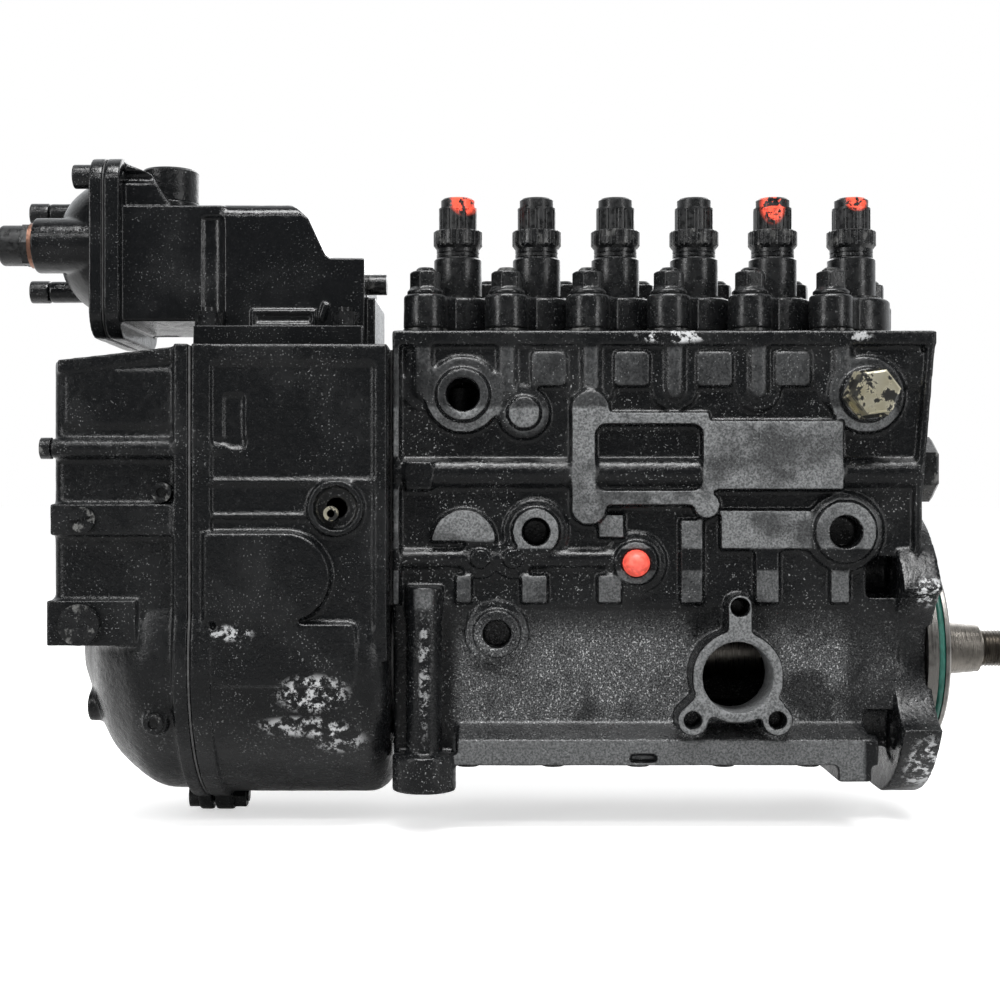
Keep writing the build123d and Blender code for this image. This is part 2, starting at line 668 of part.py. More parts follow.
with BuildPart() as shim_tool:
    with BuildSketch(Plane.XY.offset(housing_top)):
        Circle(flange_disc_radius)
        with Locations((-stud_offset_x, -stud_offset_y), (stud_offset_x, stud_offset_y)):
            Circle(ear_radius)
        Circle(tube_radius + 0.2, mode=Mode.SUBTRACT)
        with Locations((-stud_offset_x, -stud_offset_y), (stud_offset_x, stud_offset_y)):
            Circle(stud_radius + 0.5, mode=Mode.SUBTRACT)
    extrude(amount=shim_thickness)
with BuildPart() as flange_shims:
    with Locations(*column_places):
        add(shim_tool.part)
save(flange_shims, "flange_shims")

# flange sleeve: a two-eared flange with the tube that carries the barrel
with BuildPart() as sleeve_tool:
    with BuildSketch(Plane.XY.offset(shim_top)):
        Circle(flange_disc_radius)
        with Locations((-stud_offset_x, -stud_offset_y), (stud_offset_x, stud_offset_y)):
            Circle(ear_radius)
        with BuildLine():
            Polyline(
                (-stud_offset_x - ear_radius, -stud_offset_y),
                (-stud_offset_x + ear_radius, -stud_offset_y),
                (12.0, 0.0),
                (stud_offset_x + ear_radius, stud_offset_y),
                (stud_offset_x - ear_radius, stud_offset_y),
                (-12.0, 0.0),
                close=True,
            )
        make_face()
    extrude(amount=barrel_flange_thickness)
    chamfer(sleeve_tool.faces().sort_by(Axis.Z)[-1].outer_wire().edges(), 1.0)
    with Locations((0, 0, tube_bottom)):
        Cylinder(tube_radius, shim_top - tube_bottom + 1.0, align=BASE)
    with Locations((0, 0, tube_bottom + tube_lip)):
        Cylinder(barrel_radius + seat_gap, barrel_flange_top - tube_bottom, align=BASE, mode=Mode.SUBTRACT)
    with Locations((0, 0, tube_bottom - 1.0)):
        Cylinder(barrel_radius - 2.0, tube_lip + 3.0, align=BASE, mode=Mode.SUBTRACT)
    with Locations((-stud_offset_x, -stud_offset_y, shim_top - 1.0), (stud_offset_x, stud_offset_y, shim_top - 1.0)):
        Cylinder(stud_radius + 0.5, barrel_flange_thickness + 3.0, align=BASE, mode=Mode.SUBTRACT)
with BuildPart() as flange_sleeves:
    with Locations(*column_places):
        add(sleeve_tool.part)
save(flange_sleeves, "flange_sleeves")

washer_radius = 7.9
washer_thickness = 2.6
nut_top = barrel_flange_top + washer_thickness + nut_height
stud_top = nut_top + 1.6
with BuildPart() as flange_studs:
    with Locations(*[(x, y, housing_top - 17.0) for x, y in front_studs + rear_studs]):
        Cylinder(stud_radius, stud_top - housing_top + 17.0, align=BASE)
    chamfer(flange_studs.edges().filter_by(GeomType.CIRCLE).group_by(Axis.Z)[-1], 0.8)
save(flange_studs, "flange_studs")

with BuildPart() as nut_tool:
    with BuildSketch():
        Circle(washer_radius)
    extrude(amount=washer_thickness)
    chamfer(nut_tool.edges().group_by(Axis.Z)[-1], 1.2)
    with BuildSketch(Plane.XY.offset(washer_thickness)):
        RegularPolygon(nut_across_flats / 2, 6, major_radius=False, rotation=12)
    extrude(amount=nut_height)
    with BuildSketch(Plane.XZ):
        with BuildLine():
            crest = washer_thickness + nut_height
            Polyline(
                (nut_across_flats / 2 - 0.4, crest + 0.01),
                (nut_across_flats, crest + 0.01),
                (nut_across_flats, crest - 4.0),
                close=True,
            )
        make_face()
    revolve(axis=Axis.Z, mode=Mode.SUBTRACT)
    Cylinder(stud_radius, 60.0, mode=Mode.SUBTRACT)
with BuildPart() as flange_nuts:
    with Locations(*[(x, y, barrel_flange_top) for x, y in front_studs + rear_studs]):
        add(nut_tool.part)
save(flange_nuts, "flange_nuts")

# element barrel: neck for the control sleeve, body, and the plunger bore
helix_port_z = barrel_top - 14.0
with BuildPart() as barrel_tool:
    with Locations((0, 0, sleeve_bottom + 1.0)):
        Cylinder(barrel_neck_radius, barrel_top - sleeve_bottom - 1.0, align=BASE)
    with Locations((0, 0, barrel_shoulder)):
        Cylinder(barrel_radius - 2.0 - seat_gap, barrel_top - barrel_shoulder, align=BASE)
    with Locations((0, 0, tube_bottom + tube_lip)):
        Cylinder(barrel_radius, barrel_top - tube_bottom - tube_lip, align=BASE)
    with Locations((0, 0, sleeve_bottom)):
        Cylinder(plunger_radius + running_fit, barrel_top, align=BASE, mode=Mode.SUBTRACT)
    with Locations(to_front(0, barrel_radius + 5.0, helix_port_z)):
        Cylinder(1.6, 2 * barrel_radius + 10.0, align=BASE, mode=Mode.SUBTRACT)
with BuildPart() as barrels:
    with Locations(*column_places):
        add(barrel_tool.part)
save(barrels, "element_barrels")

# delivery valve body with its seat cone, its spring and the holder above it
valve_body_radius = 8.0
valve_body_height = 9.0
valve_spring_radius = 3.4
valve_spring_wire = 1.0
valve_spring_turns = 6
valve_spring_height = 14.0
with BuildPart() as valve_tool:
    with Locations((0, 0, valve_seat_z)):
        Cylinder(valve_body_radius, valve_body_height, align=BASE)
        Cylinder(2.4, valve_body_height + 3.0, align=BASE)
        Cylinder(1.2, 3.0, align=BASE, mode=Mode.SUBTRACT)
    with Locations((0, 0, valve_seat_z + valve_body_height)):
        Cone(valve_body_radius - 1.0, 4.6, 2.0, align=BASE)
with BuildPart() as delivery_valves:
    with Locations(*column_places):
        add(valve_tool.part)
save(delivery_valves, "delivery_valves")

valve_spring_bottom = valve_seat_z + valve_body_height + 2.0 + valve_spring_wire / 2
with BuildPart() as valve_spring_tool:
    with BuildLine() as valve_spring_path:
        Helix(valve_spring_height / valve_spring_turns, valve_spring_height, valve_spring_radius,
              center=(0, 0, valve_spring_bottom))
    with BuildSketch(Plane(origin=valve_spring_path.line @ 0, z_dir=valve_spring_path.line % 0)):
        Circle(valve_spring_wire / 2)
    sweep(path=valve_spring_path.line, is_frenet=True)
with BuildPart() as valve_springs:
    with Locations(*column_places):
        add(valve_spring_tool.part)
save(valve_springs, "delivery_valve_springs")

with BuildPart() as holder_tool:
    spring_chamber_top = valve_spring_bottom + valve_spring_height + valve_spring_wire / 2
    with BuildSketch(Plane.XZ):
        with BuildLine():
            Polyline(
                (valve_body_radius + seat_gap, valve_seat_z + 0.1),
                (holder_base_radius, valve_seat_z + 0.1),
                (holder_base_radius, holder_base_top),
                (holder_radius, holder_base_top),
                (holder_radius, holder_groove_z - 0.8),
                (holder_radius - 0.8, holder_groove_z),
                (holder_neck_radius - 0.7, holder_groove_z),
                (holder_neck_radius - 0.7, holder_groove_z + 0.7),
                (holder_neck_radius, holder_groove_z + 0.7),
                (holder_neck_radius, holder_groove_z + 1.9),
                (holder_neck_radius - 0.7, holder_groove_z + 1.9),
                (holder_neck_radius - 0.7, holder_groove_z + 2.6),
                (holder_neck_radius, holder_groove_z + 2.6),
                (holder_neck_radius, serration_bottom - 0.6),
                (serration_radius, serration_bottom + 1.2),
                (serration_radius, serration_top - 0.5),
                (serration_radius - 0.5, serration_top),
                (thread_tip_radius, serration_top),
                (thread_tip_radius, thread_tip_z - 1.0),
                (thread_tip_radius - 1.0, thread_tip_z),
                (3.4, thread_tip_z),
                (1.2, thread_tip_z - 3.6),
                (1.2, spring_chamber_top),
                (valve_spring_radius + 0.9, spring_chamber_top),
                (valve_spring_radius + 0.9, valve_seat_z + valve_body_height + 2.1),
                (valve_body_radius + seat_gap, valve_seat_z + valve_body_height + 2.1),
                close=True,
            )
        make_face()
    revolve(axis=Axis.Z)
    with Locations((0, 0, serration_bottom - 1.0)):
        with PolarLocations(serration_radius + 0.25, serration_count):
            Cylinder(0.75, serration_top - serration_bottom + 2.0, align=BASE, mode=Mode.SUBTRACT)
with BuildPart() as holders:
    with Locations(*column_places):
        add(holder_tool.part)
save(holders, "delivery_valve_holders")

# plastic thread caps with flutes along the lower part
cap_flute_count = 12
with BuildPart() as cap_tool:
    with BuildSketch(Plane.XZ):
        with BuildLine():
            Polyline(
                (0, thread_tip_z + 0.4),
                (thread_tip_radius + 0.1, thread_tip_z + 0.4),
                (thread_tip_radius + 0.1, serration_top + 0.2),
                (cap_lower_radius, serration_top + 0.2),
                (cap_lower_radius, cap_step_z),
                (cap_upper_radius, cap_step_z),
                (cap_upper_radius, cap_top - 0.8),
                (cap_upper_radius - 0.9, cap_top),
                (0, cap_top + 0.35),
                close=True,
            )
        make_face()
    revolve(axis=Axis.Z)
    with Locations((0, 0, serration_top)):
        with PolarLocations(cap_lower_radius + 1.35, cap_flute_count):
            Cylinder(1.8, cap_step_z - serration_top - 0.9, align=BASE, mode=Mode.SUBTRACT)
with BuildPart() as caps:
    with Locations(*column_places):
        add(cap_tool.part)
save(caps, "outlet_thread_caps")

# control sleeve and plunger of each element turn together
arm_ball_radius = 2.3
arm_shoulder = 19.0
arm_neck = 1.6
plunger_foot_z = tappet_top + 0.6
for number, x in enumerate(element_xs, start=1):
    with BuildPart() as control_sleeve:
        with Locations((x, 0, sleeve_bottom)):
            Cylinder(sleeve_radius, sleeve_height, align=BASE)
            Cylinder(barrel_neck_radius + running_fit + 0.05, sleeve_height, align=BASE, mode=Mode.SUBTRACT)
        with Locations((x, -sleeve_radius + 1.2, rack_z)):
            Box(4.0, arm_shoulder - sleeve_radius, 4.0, align=(Align.CENTER, Align.MAX, Align.CENTER))
            Box(arm_neck, arm_length - sleeve_radius, 3.0, align=(Align.CENTER, Align.MAX, Align.CENTER))
        with Locations((x, -arm_length, rack_z)):
            Sphere(arm_ball_radius)
        with Locations((x, 0, plunger_foot_z)):
            Cylinder(plunger_radius, barrel_top - 10.0 - plunger_foot_z, align=BASE)
            Cylinder(plunger_radius + 1.6, 1.6, align=BASE)
        with Locations((x, 0, barrel_top - 15.0)):
            Cylinder(plunger_radius - 1.0, 1.6, align=BASE, mode=Mode.SUBTRACT)
            Cylinder(plunger_radius - 2.0, 1.6, align=BASE)
    save(control_sleeve, f"plunger_and_sleeve_{number}")

# spring column: seats, springs, tappets with their rollers and pins
with BuildPart() as spring_seats:
    with Locations(*[(x, 0, tappet_top) for x in element_xs]):
        Cylinder(tappet_radius - 0.6, seat_thickness, align=BASE)
        Cylinder(plunger_radius + 2.2, seat_thickness, align=BASE, mode=Mode.SUBTRACT)
    with Locations(*[(x, 0, upper_seat_z) for x in element_xs]):
        Cylinder(tappet_radius - 0.6, seat_thickness, align=BASE)
        Cylinder(plunger_radius + 0.8, seat_thickness, align=BASE, mode=Mode.SUBTRACT)
save(spring_seats, "spring_seats")

spring_turns = 4
spring_rise = spring_length - spring_wire - 0.1
with BuildPart() as spring_tool:
    with BuildLine() as spring_path:
        Helix(spring_rise / spring_turns, spring_rise, spring_radius,
              center=(0, 0, spring_bottom + spring_wire / 2 + 0.05))
    with BuildSketch(Plane(origin=spring_path.line @ 0, z_dir=spring_path.line % 0)):
        Circle(spring_wire / 2)
    sweep(path=spring_path.line, is_frenet=True)
with BuildPart() as plunger_springs:
    with Locations(*column_places):
        add(spring_tool.part)
save(plunger_springs, "plunger_springs")

roller_width = 13.0
roller_pin_radius = 3.2
with BuildPart() as tappets:
    with Locations(*[(x, 0, tappet_bottom) for x in element_xs]):
        Cylinder(tappet_radius, tappet_height, align=BASE)
    with Locations(*[(x, 0, tappet_bottom - 1.0) for x in element_xs]):
        Box(roller_width + 0.8, 2 * tappet_radius + 2.0, roller_z + roller_radius + 1.0 - tappet_bottom + 1.0,
            align=BASE, mode=Mode.SUBTRACT)
    with Locations(to_drive(element_xs[0] - 30.0, 0, roller_z)):
        Cylinder(roller_pin_radius, housing_length + 40.0, align=BASE, mode=Mode.SUBTRACT)
save(tappets, "roller_tappets")

with BuildPart() as tappet_rollers:
    with Locations(*[to_drive(x - roller_width / 2, 0, roller_z) for x in element_xs]):
        Cylinder(roller_radius, roller_width, align=BASE)
        Cylinder(roller_pin_radius + running_fit, roller_width, align=BASE, mode=Mode.SUBTRACT)
    with Locations(*[to_drive(x - 12.2, 0, roller_z) for x in element_xs]):
        Cylinder(roller_pin_radius, 24.4, align=BASE)
save(tappet_rollers, "tappet_rollers_and_pins")

# ---------------------------------------------------------------- control rack
rack_left = -281.0
rack_right = -19.5
rack_eye_x = -286.0
rack_pin_radius = 2.0
eye_slot_rise = 1.4
rack_slot_gap = 0.35
with BuildPart() as control_rack:
    with Locations(to_drive(rack_left, rack_y, rack_z)):
        Cylinder(rack_radius, rack_right - rack_left, align=BASE)
    # flat on the inner side with one notch for each arm ball
    with Locations(*[(x, rack_y, rack_z) for x in element_xs]):
        Box(2 * (arm_ball_radius + rack_slot_gap), 8.0, 3 * rack_radius,
            align=(Align.CENTER, Align.MIN, Align.CENTER), mode=Mode.SUBTRACT)
    with Locations(*[(x, rack_y - arm_ball_radius - rack_slot_gap, rack_z) for x in element_xs]):
        Box(2 * (arm_ball_radius + rack_slot_gap), 8.0, 3 * rack_radius,
            align=(Align.CENTER, Align.MIN, Align.CENTER), mode=Mode.SUBTRACT)
    # eye at the governor end, slotted upright for the pin of the rocking lever
    with Locations((rack_eye_x, rack_y, rack_z)):
        Box(12.0, 8.0, 14.0)
        Box(2 * (rack_pin_radius + rack_slot_gap), 9.0, 2 * (rack_pin_radius + eye_slot_rise), mode=Mode.SUBTRACT)
save(control_rack, "control_rack")

plug_across_flats = 24.0
with BuildPart() as rack_end_plug:
    with BuildSketch(Plane.YZ.offset(plug_seat_x)):
        with Locations((rack_y, rack_z + 1.0)):
            RegularPolygon(plug_across_flats / 2, 6, major_radius=False, rotation=30)
    extrude(amount=7.6)
    chamfer(rack_end_plug.faces().sort_by(Axis.X)[-1].edges(), 1.3)
    with Locations(to_governor(plug_seat_x, rack_y, rack_z)):
        Cylinder(rack_radius, 4.0, align=BASE)
save(rack_end_plug, "rack_end_plug")

# ---------------------------------------------------------------- plugs of the side wall
gallery_plug_head = 17.0
plug_face_y = -upper_half_width - 7.4
with BuildPart() as gallery_plug:
    with BuildSketch(Plane.XZ.offset(-plug_face_y)):
        with Locations(outlet_port):
            RegularPolygon(gallery_plug_head / 2 + 1.5, 6, major_radius=False, rotation=8)
    extrude(amount=2.6)
    with BuildSketch(Plane.XZ.offset(-plug_face_y + 2.6)):
        with Locations(outlet_port):
            RegularPolygon(gallery_plug_head / 2, 6, major_radius=False, rotation=8)
    extrude(amount=12.0)
    chamfer(gallery_plug.faces().sort_by(Axis.Y)[0].edges(), 0.9)
    with Locations(to_back(outlet_port[0], plug_face_y, outlet_port[1])):
        Cylinder(port_bore_radius, 14.0, align=BASE)
save(gallery_plug, "gallery_plug")

red_boss = side_bosses[3]
with BuildPart() as side_port_cap:
    with Locations(to_back(red_boss[0], -red_boss[4], red_boss[1])):
        Cylinder(red_boss[3], 8.0, align=BASE)
    with Locations((red_boss[0], -red_boss[4], red_boss[1])):
        Sphere(5.4, arc_size1=-90, arc_size2=90, rotation=(90, 0, 0))
save(side_port_cap, "side_port_cap")

# ================================================================ governor
governor_right = housing_left - 0.8
governor_left_face = governor_left
cover_right = governor_left_face - 0.8
throttle_x = rack_eye_x
throttle_z = 20.0
throttle_shaft_radius = 5.0
stop_x = -250.0
stop_z = 104.0
stop_shaft_radius = 4.0
flange_lug_z = -62.0
lug_bolt_hole = 3.1
cover_screw_shank = 1.9
screw_y = governor_half_width - 2.6
cover_screw_points = [(side * screw_y, 87.0) for side in (-1, 1)]
long_boss_half = 4.2
panel_left = -298.0
panel_right = -240.4
panel_bottom = -9.6
panel_face = 63.6
viewing_port = (-248.7, 62.6)
bulge_left = -303.0
bulge_right = -250.0
bulge_bottom = 15.8
bulge_top = 53.4
bulge_face = 64.5
inner_half_width = governor_half_width - governor_wall
bell_inner = bell_radius - governor_wall
bell_corner = 11.0

with BuildPart() as governor_housing:
    # bell about the camshaft with straight sides rising to a flat top
    with BuildSketch(Plane.XY):
        with BuildLine():
            Polyline(
                (governor_right, bell_radius - bell_corner),
                (governor_right, 0),
                (governor_left_face, 0),
                (governor_left_face, bell_radius),
                (governor_right - bell_corner, bell_radius),
            )
            RadiusArc((governor_right - bell_corner, bell_radius), (governor_right, bell_radius - bell_corner),
                      bell_corner)
        make_face()
    revolve(axis=Axis.X)
    with Locations((governor_left_face, 0, 0)):
        Box(governor_right - governor_left_face, 2 * governor_half_width, governor_top,
            align=(Align.MIN, Align.CENTER, Align.MIN))
    # joint flange towards the cover, with a lower lug
    with BuildSketch(Plane.YZ.offset(governor_left_face)):
        Circle(bell_radius + 2.2)
        Rectangle(2 * governor_half_width + 4.0, governor_top, align=(Align.CENTER, Align.MIN))
        with Locations((0, flange_lug_z)):
            Circle(9.5)
    extrude(amount=cover_flange + 2.0)
    # joint flange towards the pump, upper part only
    with BuildSketch(Plane.YZ.offset(governor_right)):
        with Locations((0, 10.0)):
            Rectangle(2 * governor_half_width + 3.0, governor_top - 10.0, align=(Align.CENTER, Align.MIN))
    extrude(amount=-5.4)
    # top deck strip under the boost compensator
    with Locations((governor_left_face, 0, governor_top)):
        Box(governor_right - governor_left_face, 2 * governor_half_width + 3.0, 8.0,
            align=(Align.MIN, Align.CENTER, Align.MAX))
    # front face details: bulge, bar, steps and port boss
    with BuildSketch(Plane.XZ.offset(governor_half_width)):
        with Locations(((bulge_left + bulge_right - 18.0) / 2, (bulge_bottom + bulge_top) / 2)):
            Rectangle(bulge_right - bulge_left - 18.0, bulge_top - bulge_bottom)
        with Locations((bulge_right - 18.8, (bulge_bottom + bulge_top) / 2)):
            Circle((bulge_top - bulge_bottom) / 2)
    extrude(amount=bulge_face - governor_half_width, taper=12)
    with BuildSketch(Plane.XZ.offset(governor_half_width - 4.0)):
        with Locations(((panel_left + panel_right) / 2, (panel_bottom + bulge_bottom) / 2)):
            RectangleRounded(panel_right - panel_left, bulge_bottom - panel_bottom, 3.0)
    extrude(amount=panel_face - governor_half_width + 4.0)
    # pointed bosses of the two long screws
    for y, z in cover_screw_points:
        with Locations(to_drive(governor_left_face + cover_flange, y, z)):
            Cone(long_boss_half, 1.0, 18.0, align=BASE)
    with Locations(to_front(-266.0, -governor_half_width, 73.4)):
        Box(66.0, 1.6, 1.4, align=BASE)
    with Locations(to_front(-272.0, -governor_half_width, 59.3)):
        Box(60.0, 1.6, 1.4, align=BASE)
    with Locations(to_front(viewing_port[0], -governor_half_width, viewing_port[1])):
        Cylinder(11.5, 3.2, align=BASE)
    # ---- cavity
    with BuildSketch(Plane.YZ.offset(governor_left_face - 1.0)):
        Circle(bell_inner)
        Rectangle(2 * inner_half_width, governor_top - 7.0, align=(Align.CENTER, Align.MIN))
    extrude(amount=governor_right - governor_left_face + 1.0 - 7.0, mode=Mode.SUBTRACT)
    # passage for the flyweights' hub and the rack in the wall towards the pump
    with Locations(to_governor(governor_right + 1.0, 0, 0)):
        Cylinder(bearing_outer_radius + 4.0, 20.0, align=BASE, mode=Mode.SUBTRACT)
    with Locations(to_governor(governor_right + 1.0, rack_y, rack_z)):
        Cylinder(rack_radius + 3.0, 20.0, align=BASE, mode=Mode.SUBTRACT)
    # shallow recesses in the front face
    with Locations(to_front(-290.5, -governor_half_width, 99.0)):
        Box(9.0, 20.0, 1.4, align=TOP, mode=Mode.SUBTRACT)
    with Locations(to_front(-292.0, -governor_half_width, 89.0)):
        Box(14.0, 4.0, 1.4, align=TOP, mode=Mode.SUBTRACT)
    with Locations(to_front(viewing_port[0], -governor_half_width - 3.2, viewing_port[1])):
        Cylinder(8.8, 5.0, align=TOP, mode=Mode.SUBTRACT)
        Cylinder(4.05, 20.0, align=TOP, mode=Mode.SUBTRACT)
    # bores of the two lever shafts
    with Locations(to_back(throttle_x, -governor_half_width + 2.0, throttle_z)):
        Cylinder(throttle_shaft_radius + running_fit, 2 * governor_half_width + 20.0, align=BASE, mode=Mode.SUBTRACT)
    with Locations(to_back(stop_x, inner_half_width - 2.0, stop_z)):
        Cylinder(stop_shaft_radius + running_fit, 20.0, align=BASE, mode=Mode.SUBTRACT)
    # deck opening for the compensator rod
    with Locations((-270.0, 0, governor_top - 12.0)):
        Cylinder(9.0, 20.0, align=BASE, mode=Mode.SUBTRACT)
    # hole of the lower lug bolt
    with Locations(to_drive(governor_left_face - 1.0, 0, flange_lug_z - 3.0)):
        Cylinder(lug_bolt_hole, 20.0, align=BASE, mode=Mode.SUBTRACT)
    with Locations(to_drive(governor_left_face + cover_flange + 2.0, 0, flange_lug_z - 3.0)):
        Cylinder(7.0, 12.0, align=BASE, mode=Mode.SUBTRACT)
    # threaded holes of the cover screws
    with Locations(*[to_drive(governor_left_face - 1.0, y, z) for y, z in cover_screw_points]):
        Cylinder(cover_screw_shank + seat_gap, 9.0, align=BASE, mode=Mode.SUBTRACT)
save(governor_housing, "governor_housing")

with BuildPart() as governor_gaskets:
    with BuildSketch(Plane.YZ.offset(governor_right)):
        with Locations((0, 22.0)):
            Rectangle(2 * upper_half_width, housing_top - 22.0 - 8.0, align=(Align.CENTER, Align.MIN))
        Circle(lower_half_width)
        Circle(bearing_outer_radius + 4.0, mode=Mode.SUBTRACT)
        with Locations((rack_y, rack_z)):
            Circle(rack_radius + 3.0, mode=Mode.SUBTRACT)
    extrude(amount=housing_left - governor_right)
    with BuildSketch(Plane.YZ.offset(cover_right)):
        Circle(bell_radius + 1.6)
        Rectangle(2 * governor_half_width + 3.0, governor_top - 1.0, align=(Align.CENTER, Align.MIN))
        Circle(bell_inner, mode=Mode.SUBTRACT)
        Rectangle(2 * inner_half_width, governor_top - 7.0, align=(Align.CENTER, Align.MIN), mode=Mode.SUBTRACT)
        with Locations((0, flange_lug_z - 3.0)):
            Circle(lug_bolt_hole, mode=Mode.SUBTRACT)
        with Locations(*cover_screw_points):
            Circle(cover_screw_shank + seat_gap, mode=Mode.SUBTRACT)
    extrude(amount=governor_left_face - cover_right)
save(governor_gaskets, "governor_gaskets")

# ---------------------------------------------------------------- governor cover
cover_half_width = 57.0
cover_depth_left = cover_left
lid_slope_left = 123.0
cover_top_right = governor_top
cover_cavity_half = 38.0
screw_head_radius = 4.4
screw_head_height = 4.2
socket_radius = 2.3
slot_plug = (-351.6, 57.9)
socket_plug = (-352.6, 15.2)
strip_screw = (-319.6, 69.0)
dome_screw = (-323.0, -25.2)
cover_box_bottom = 6.0
cover_corner = 5.0
step_z = 96.0
step_stand = 1.0
# radius of the domed end against distance along the camshaft
dome_profile = [(-322.0, 61.0), (-338.0, 54.3), (-348.0, 45.0), (-356.0, 29.8), (-363.0, 13.8), (-365.0, 0.0)]
with BuildPart() as governor_cover:
    # upper box under a slanted lid
    with BuildSketch(Plane.XZ):
        with BuildLine():
            Polyline(
                (cover_right, cover_top_right),
                (cover_depth_left, lid_slope_left),
                (cover_depth_left, cover_box_bottom),
                (cover_right, cover_box_bottom),
                close=True,
            )
        make_face()
    extrude(amount=cover_half_width, both=True)
    fillet(governor_cover.edges().filter_by(Axis.Z).group_by(Axis.X)[0], cover_corner)
    # domed lower end about the camshaft
    with BuildSketch(Plane.XY):
        with BuildLine():
            Polyline(dome_profile[-1], (cover_right, 0), (cover_right, dome_profile[0][1]), dome_profile[0])
            Spline(*dome_profile, tangents=((-1, 0), (0, -1)))
        make_face()
    revolve(axis=Axis.X)
    # joint flange
    with BuildSketch(Plane.YZ.offset(cover_right)):
        Circle(bell_radius + 2.2)
        Rectangle(2 * governor_half_width + 4.0, governor_top, align=(Align.CENTER, Align.MIN))
        with Locations((0, flange_lug_z)):
            Circle(9.5)
    extrude(amount=-cover_flange)
    # lid plate standing slightly proud, level with its slope
    with BuildSketch(Plane.XZ):
        with BuildLine():
            Polyline(
                (cover_depth_left + 2.0, lid_slope_left + 0.2),
                (cover_right - cover_flange, cover_top_right - 0.8),
                (cover_right - cover_flange, cover_top_right - 6.0),
                (cover_depth_left + 2.0, lid_slope_left - 5.2),
                close=True,
            )
        make_face()
    extrude(amount=cover_half_width + 1.4, both=True)
    # bosses of the long screws, the step above them, the pad strip and the plug block
    for y, z in cover_screw_points:
        with Locations(to_drive(cover_depth_left, y, z)):
            Cylinder(long_boss_half, cover_right - cover_depth_left, align=BASE)
    for side in (-1, 1):
        with Locations((cover_depth_left + cover_corner, side * cover_half_width, step_z)):
            Box(cover_right - cover_flange - cover_depth_left - cover_corner, 2 * step_stand, lid_slope_left - step_z
                - 4.0, align=(Align.MIN, Align.CENTER, Align.MIN))
    with Locations(to_front(-338.0, -cover_half_width + 6.0, 57.9)):
        Box(54.0, 13.2, 10.0, align=BASE)
    with Locations(to_front(-348.2, -cover_half_width + 16.0, 15.8)):
        Box(36.4, 18.8, 20.0, align=BASE)
    # boss and plate on the end wall
    with Locations((cover_depth_left, 0, 106.0)):
        Box(5.0, 60.0, 21.0, align=(Align.MAX, Align.CENTER, Align.CENTER))
    with Locations((cover_depth_left, 0, 84.0)):
        Box(1.6, 76.0, 62.0, align=(Align.MAX, Align.CENTER, Align.CENTER))
    # stub, front screw boss and diagonal rib on the domed end
    with Locations(to_governor(-344.0, -20.0, -22.6)):
        Cylinder(7.0, 15.0, align=BASE)
    with Locations(to_front(dome_screw[0], -cover_half_width + 14.0, dome_screw[1])):
        Cylinder(5.4, 15.0, align=BASE)
    with Locations(to_front(-324.6, -cover_half_width + 12.0, -6.5)):
        Box(3.4, 24.0, 13.5, align=BASE, rotation=(0, 0, 32))
    # ---- cavity
    with BuildSketch(Plane.XZ):
        with BuildLine():
            Polyline(
                (cover_right + 1.0, governor_top - 7.0),
                (cover_right - cover_flange, governor_top - 7.0),
                (cover_depth_left + governor_wall, lid_slope_left - 7.0),
                (cover_depth_left + governor_wall, cover_box_bottom),
                (cover_right + 1.0, cover_box_bottom),
                close=True,
            )
        make_face()
    extrude(amount=cover_cavity_half, both=True, mode=Mode.SUBTRACT)
    with BuildSketch(Plane.XY):
        with BuildLine():
            Polyline(
                (cover_right + 1.0, 0),
                (cover_right + 1.0, dome_profile[0][1] - 6.0),
                *[(x + governor_wall, r - 5.0) for x, r in dome_profile[:-1]],
                (dome_profile[-2][0] + governor_wall, 0),
                close=True,
            )
        make_face()
    revolve(axis=Axis.X, mode=Mode.SUBTRACT)
    # screw holes with spotfaces, the lug bolt hole and the seats of the plugs
    with Locations(*[to_governor(cover_right + 1.0, y, z) for y, z in cover_screw_points]):
        Cylinder(cover_screw_shank + seat_gap, 80.0, align=BASE, mode=Mode.SUBTRACT)
    with Locations(to_governor(cover_right + 1.0, 0, flange_lug_z - 3.0)):
        Cylinder(lug_bolt_hole, 12.0, align=BASE, mode=Mode.SUBTRACT)
    with Locations(to_governor(cover_right - cover_flange, 0, flange_lug_z - 3.0)):
        Cylinder(6.2, 30.0, align=BASE, mode=Mode.SUBTRACT)
    with Locations(to_back(slot_plug[0], -cover_half_width - 5.0, slot_plug[1])):
        Cylinder(3.0 + seat_gap, 9.0, align=BASE, mode=Mode.SUBTRACT)
    with Locations(to_back(dome_screw[0], -cover_half_width - 2.0, dome_screw[1])):
        Cylinder(2.0 + seat_gap, 10.0, align=BASE, mode=Mode.SUBTRACT)
    with Locations(to_back(strip_screw[0], -cover_half_width - 2.0, strip_screw[1])):
        Cylinder(2.0 + seat_gap, 10.0, align=BASE, mode=Mode.SUBTRACT)
save(governor_cover, "governor_cover")

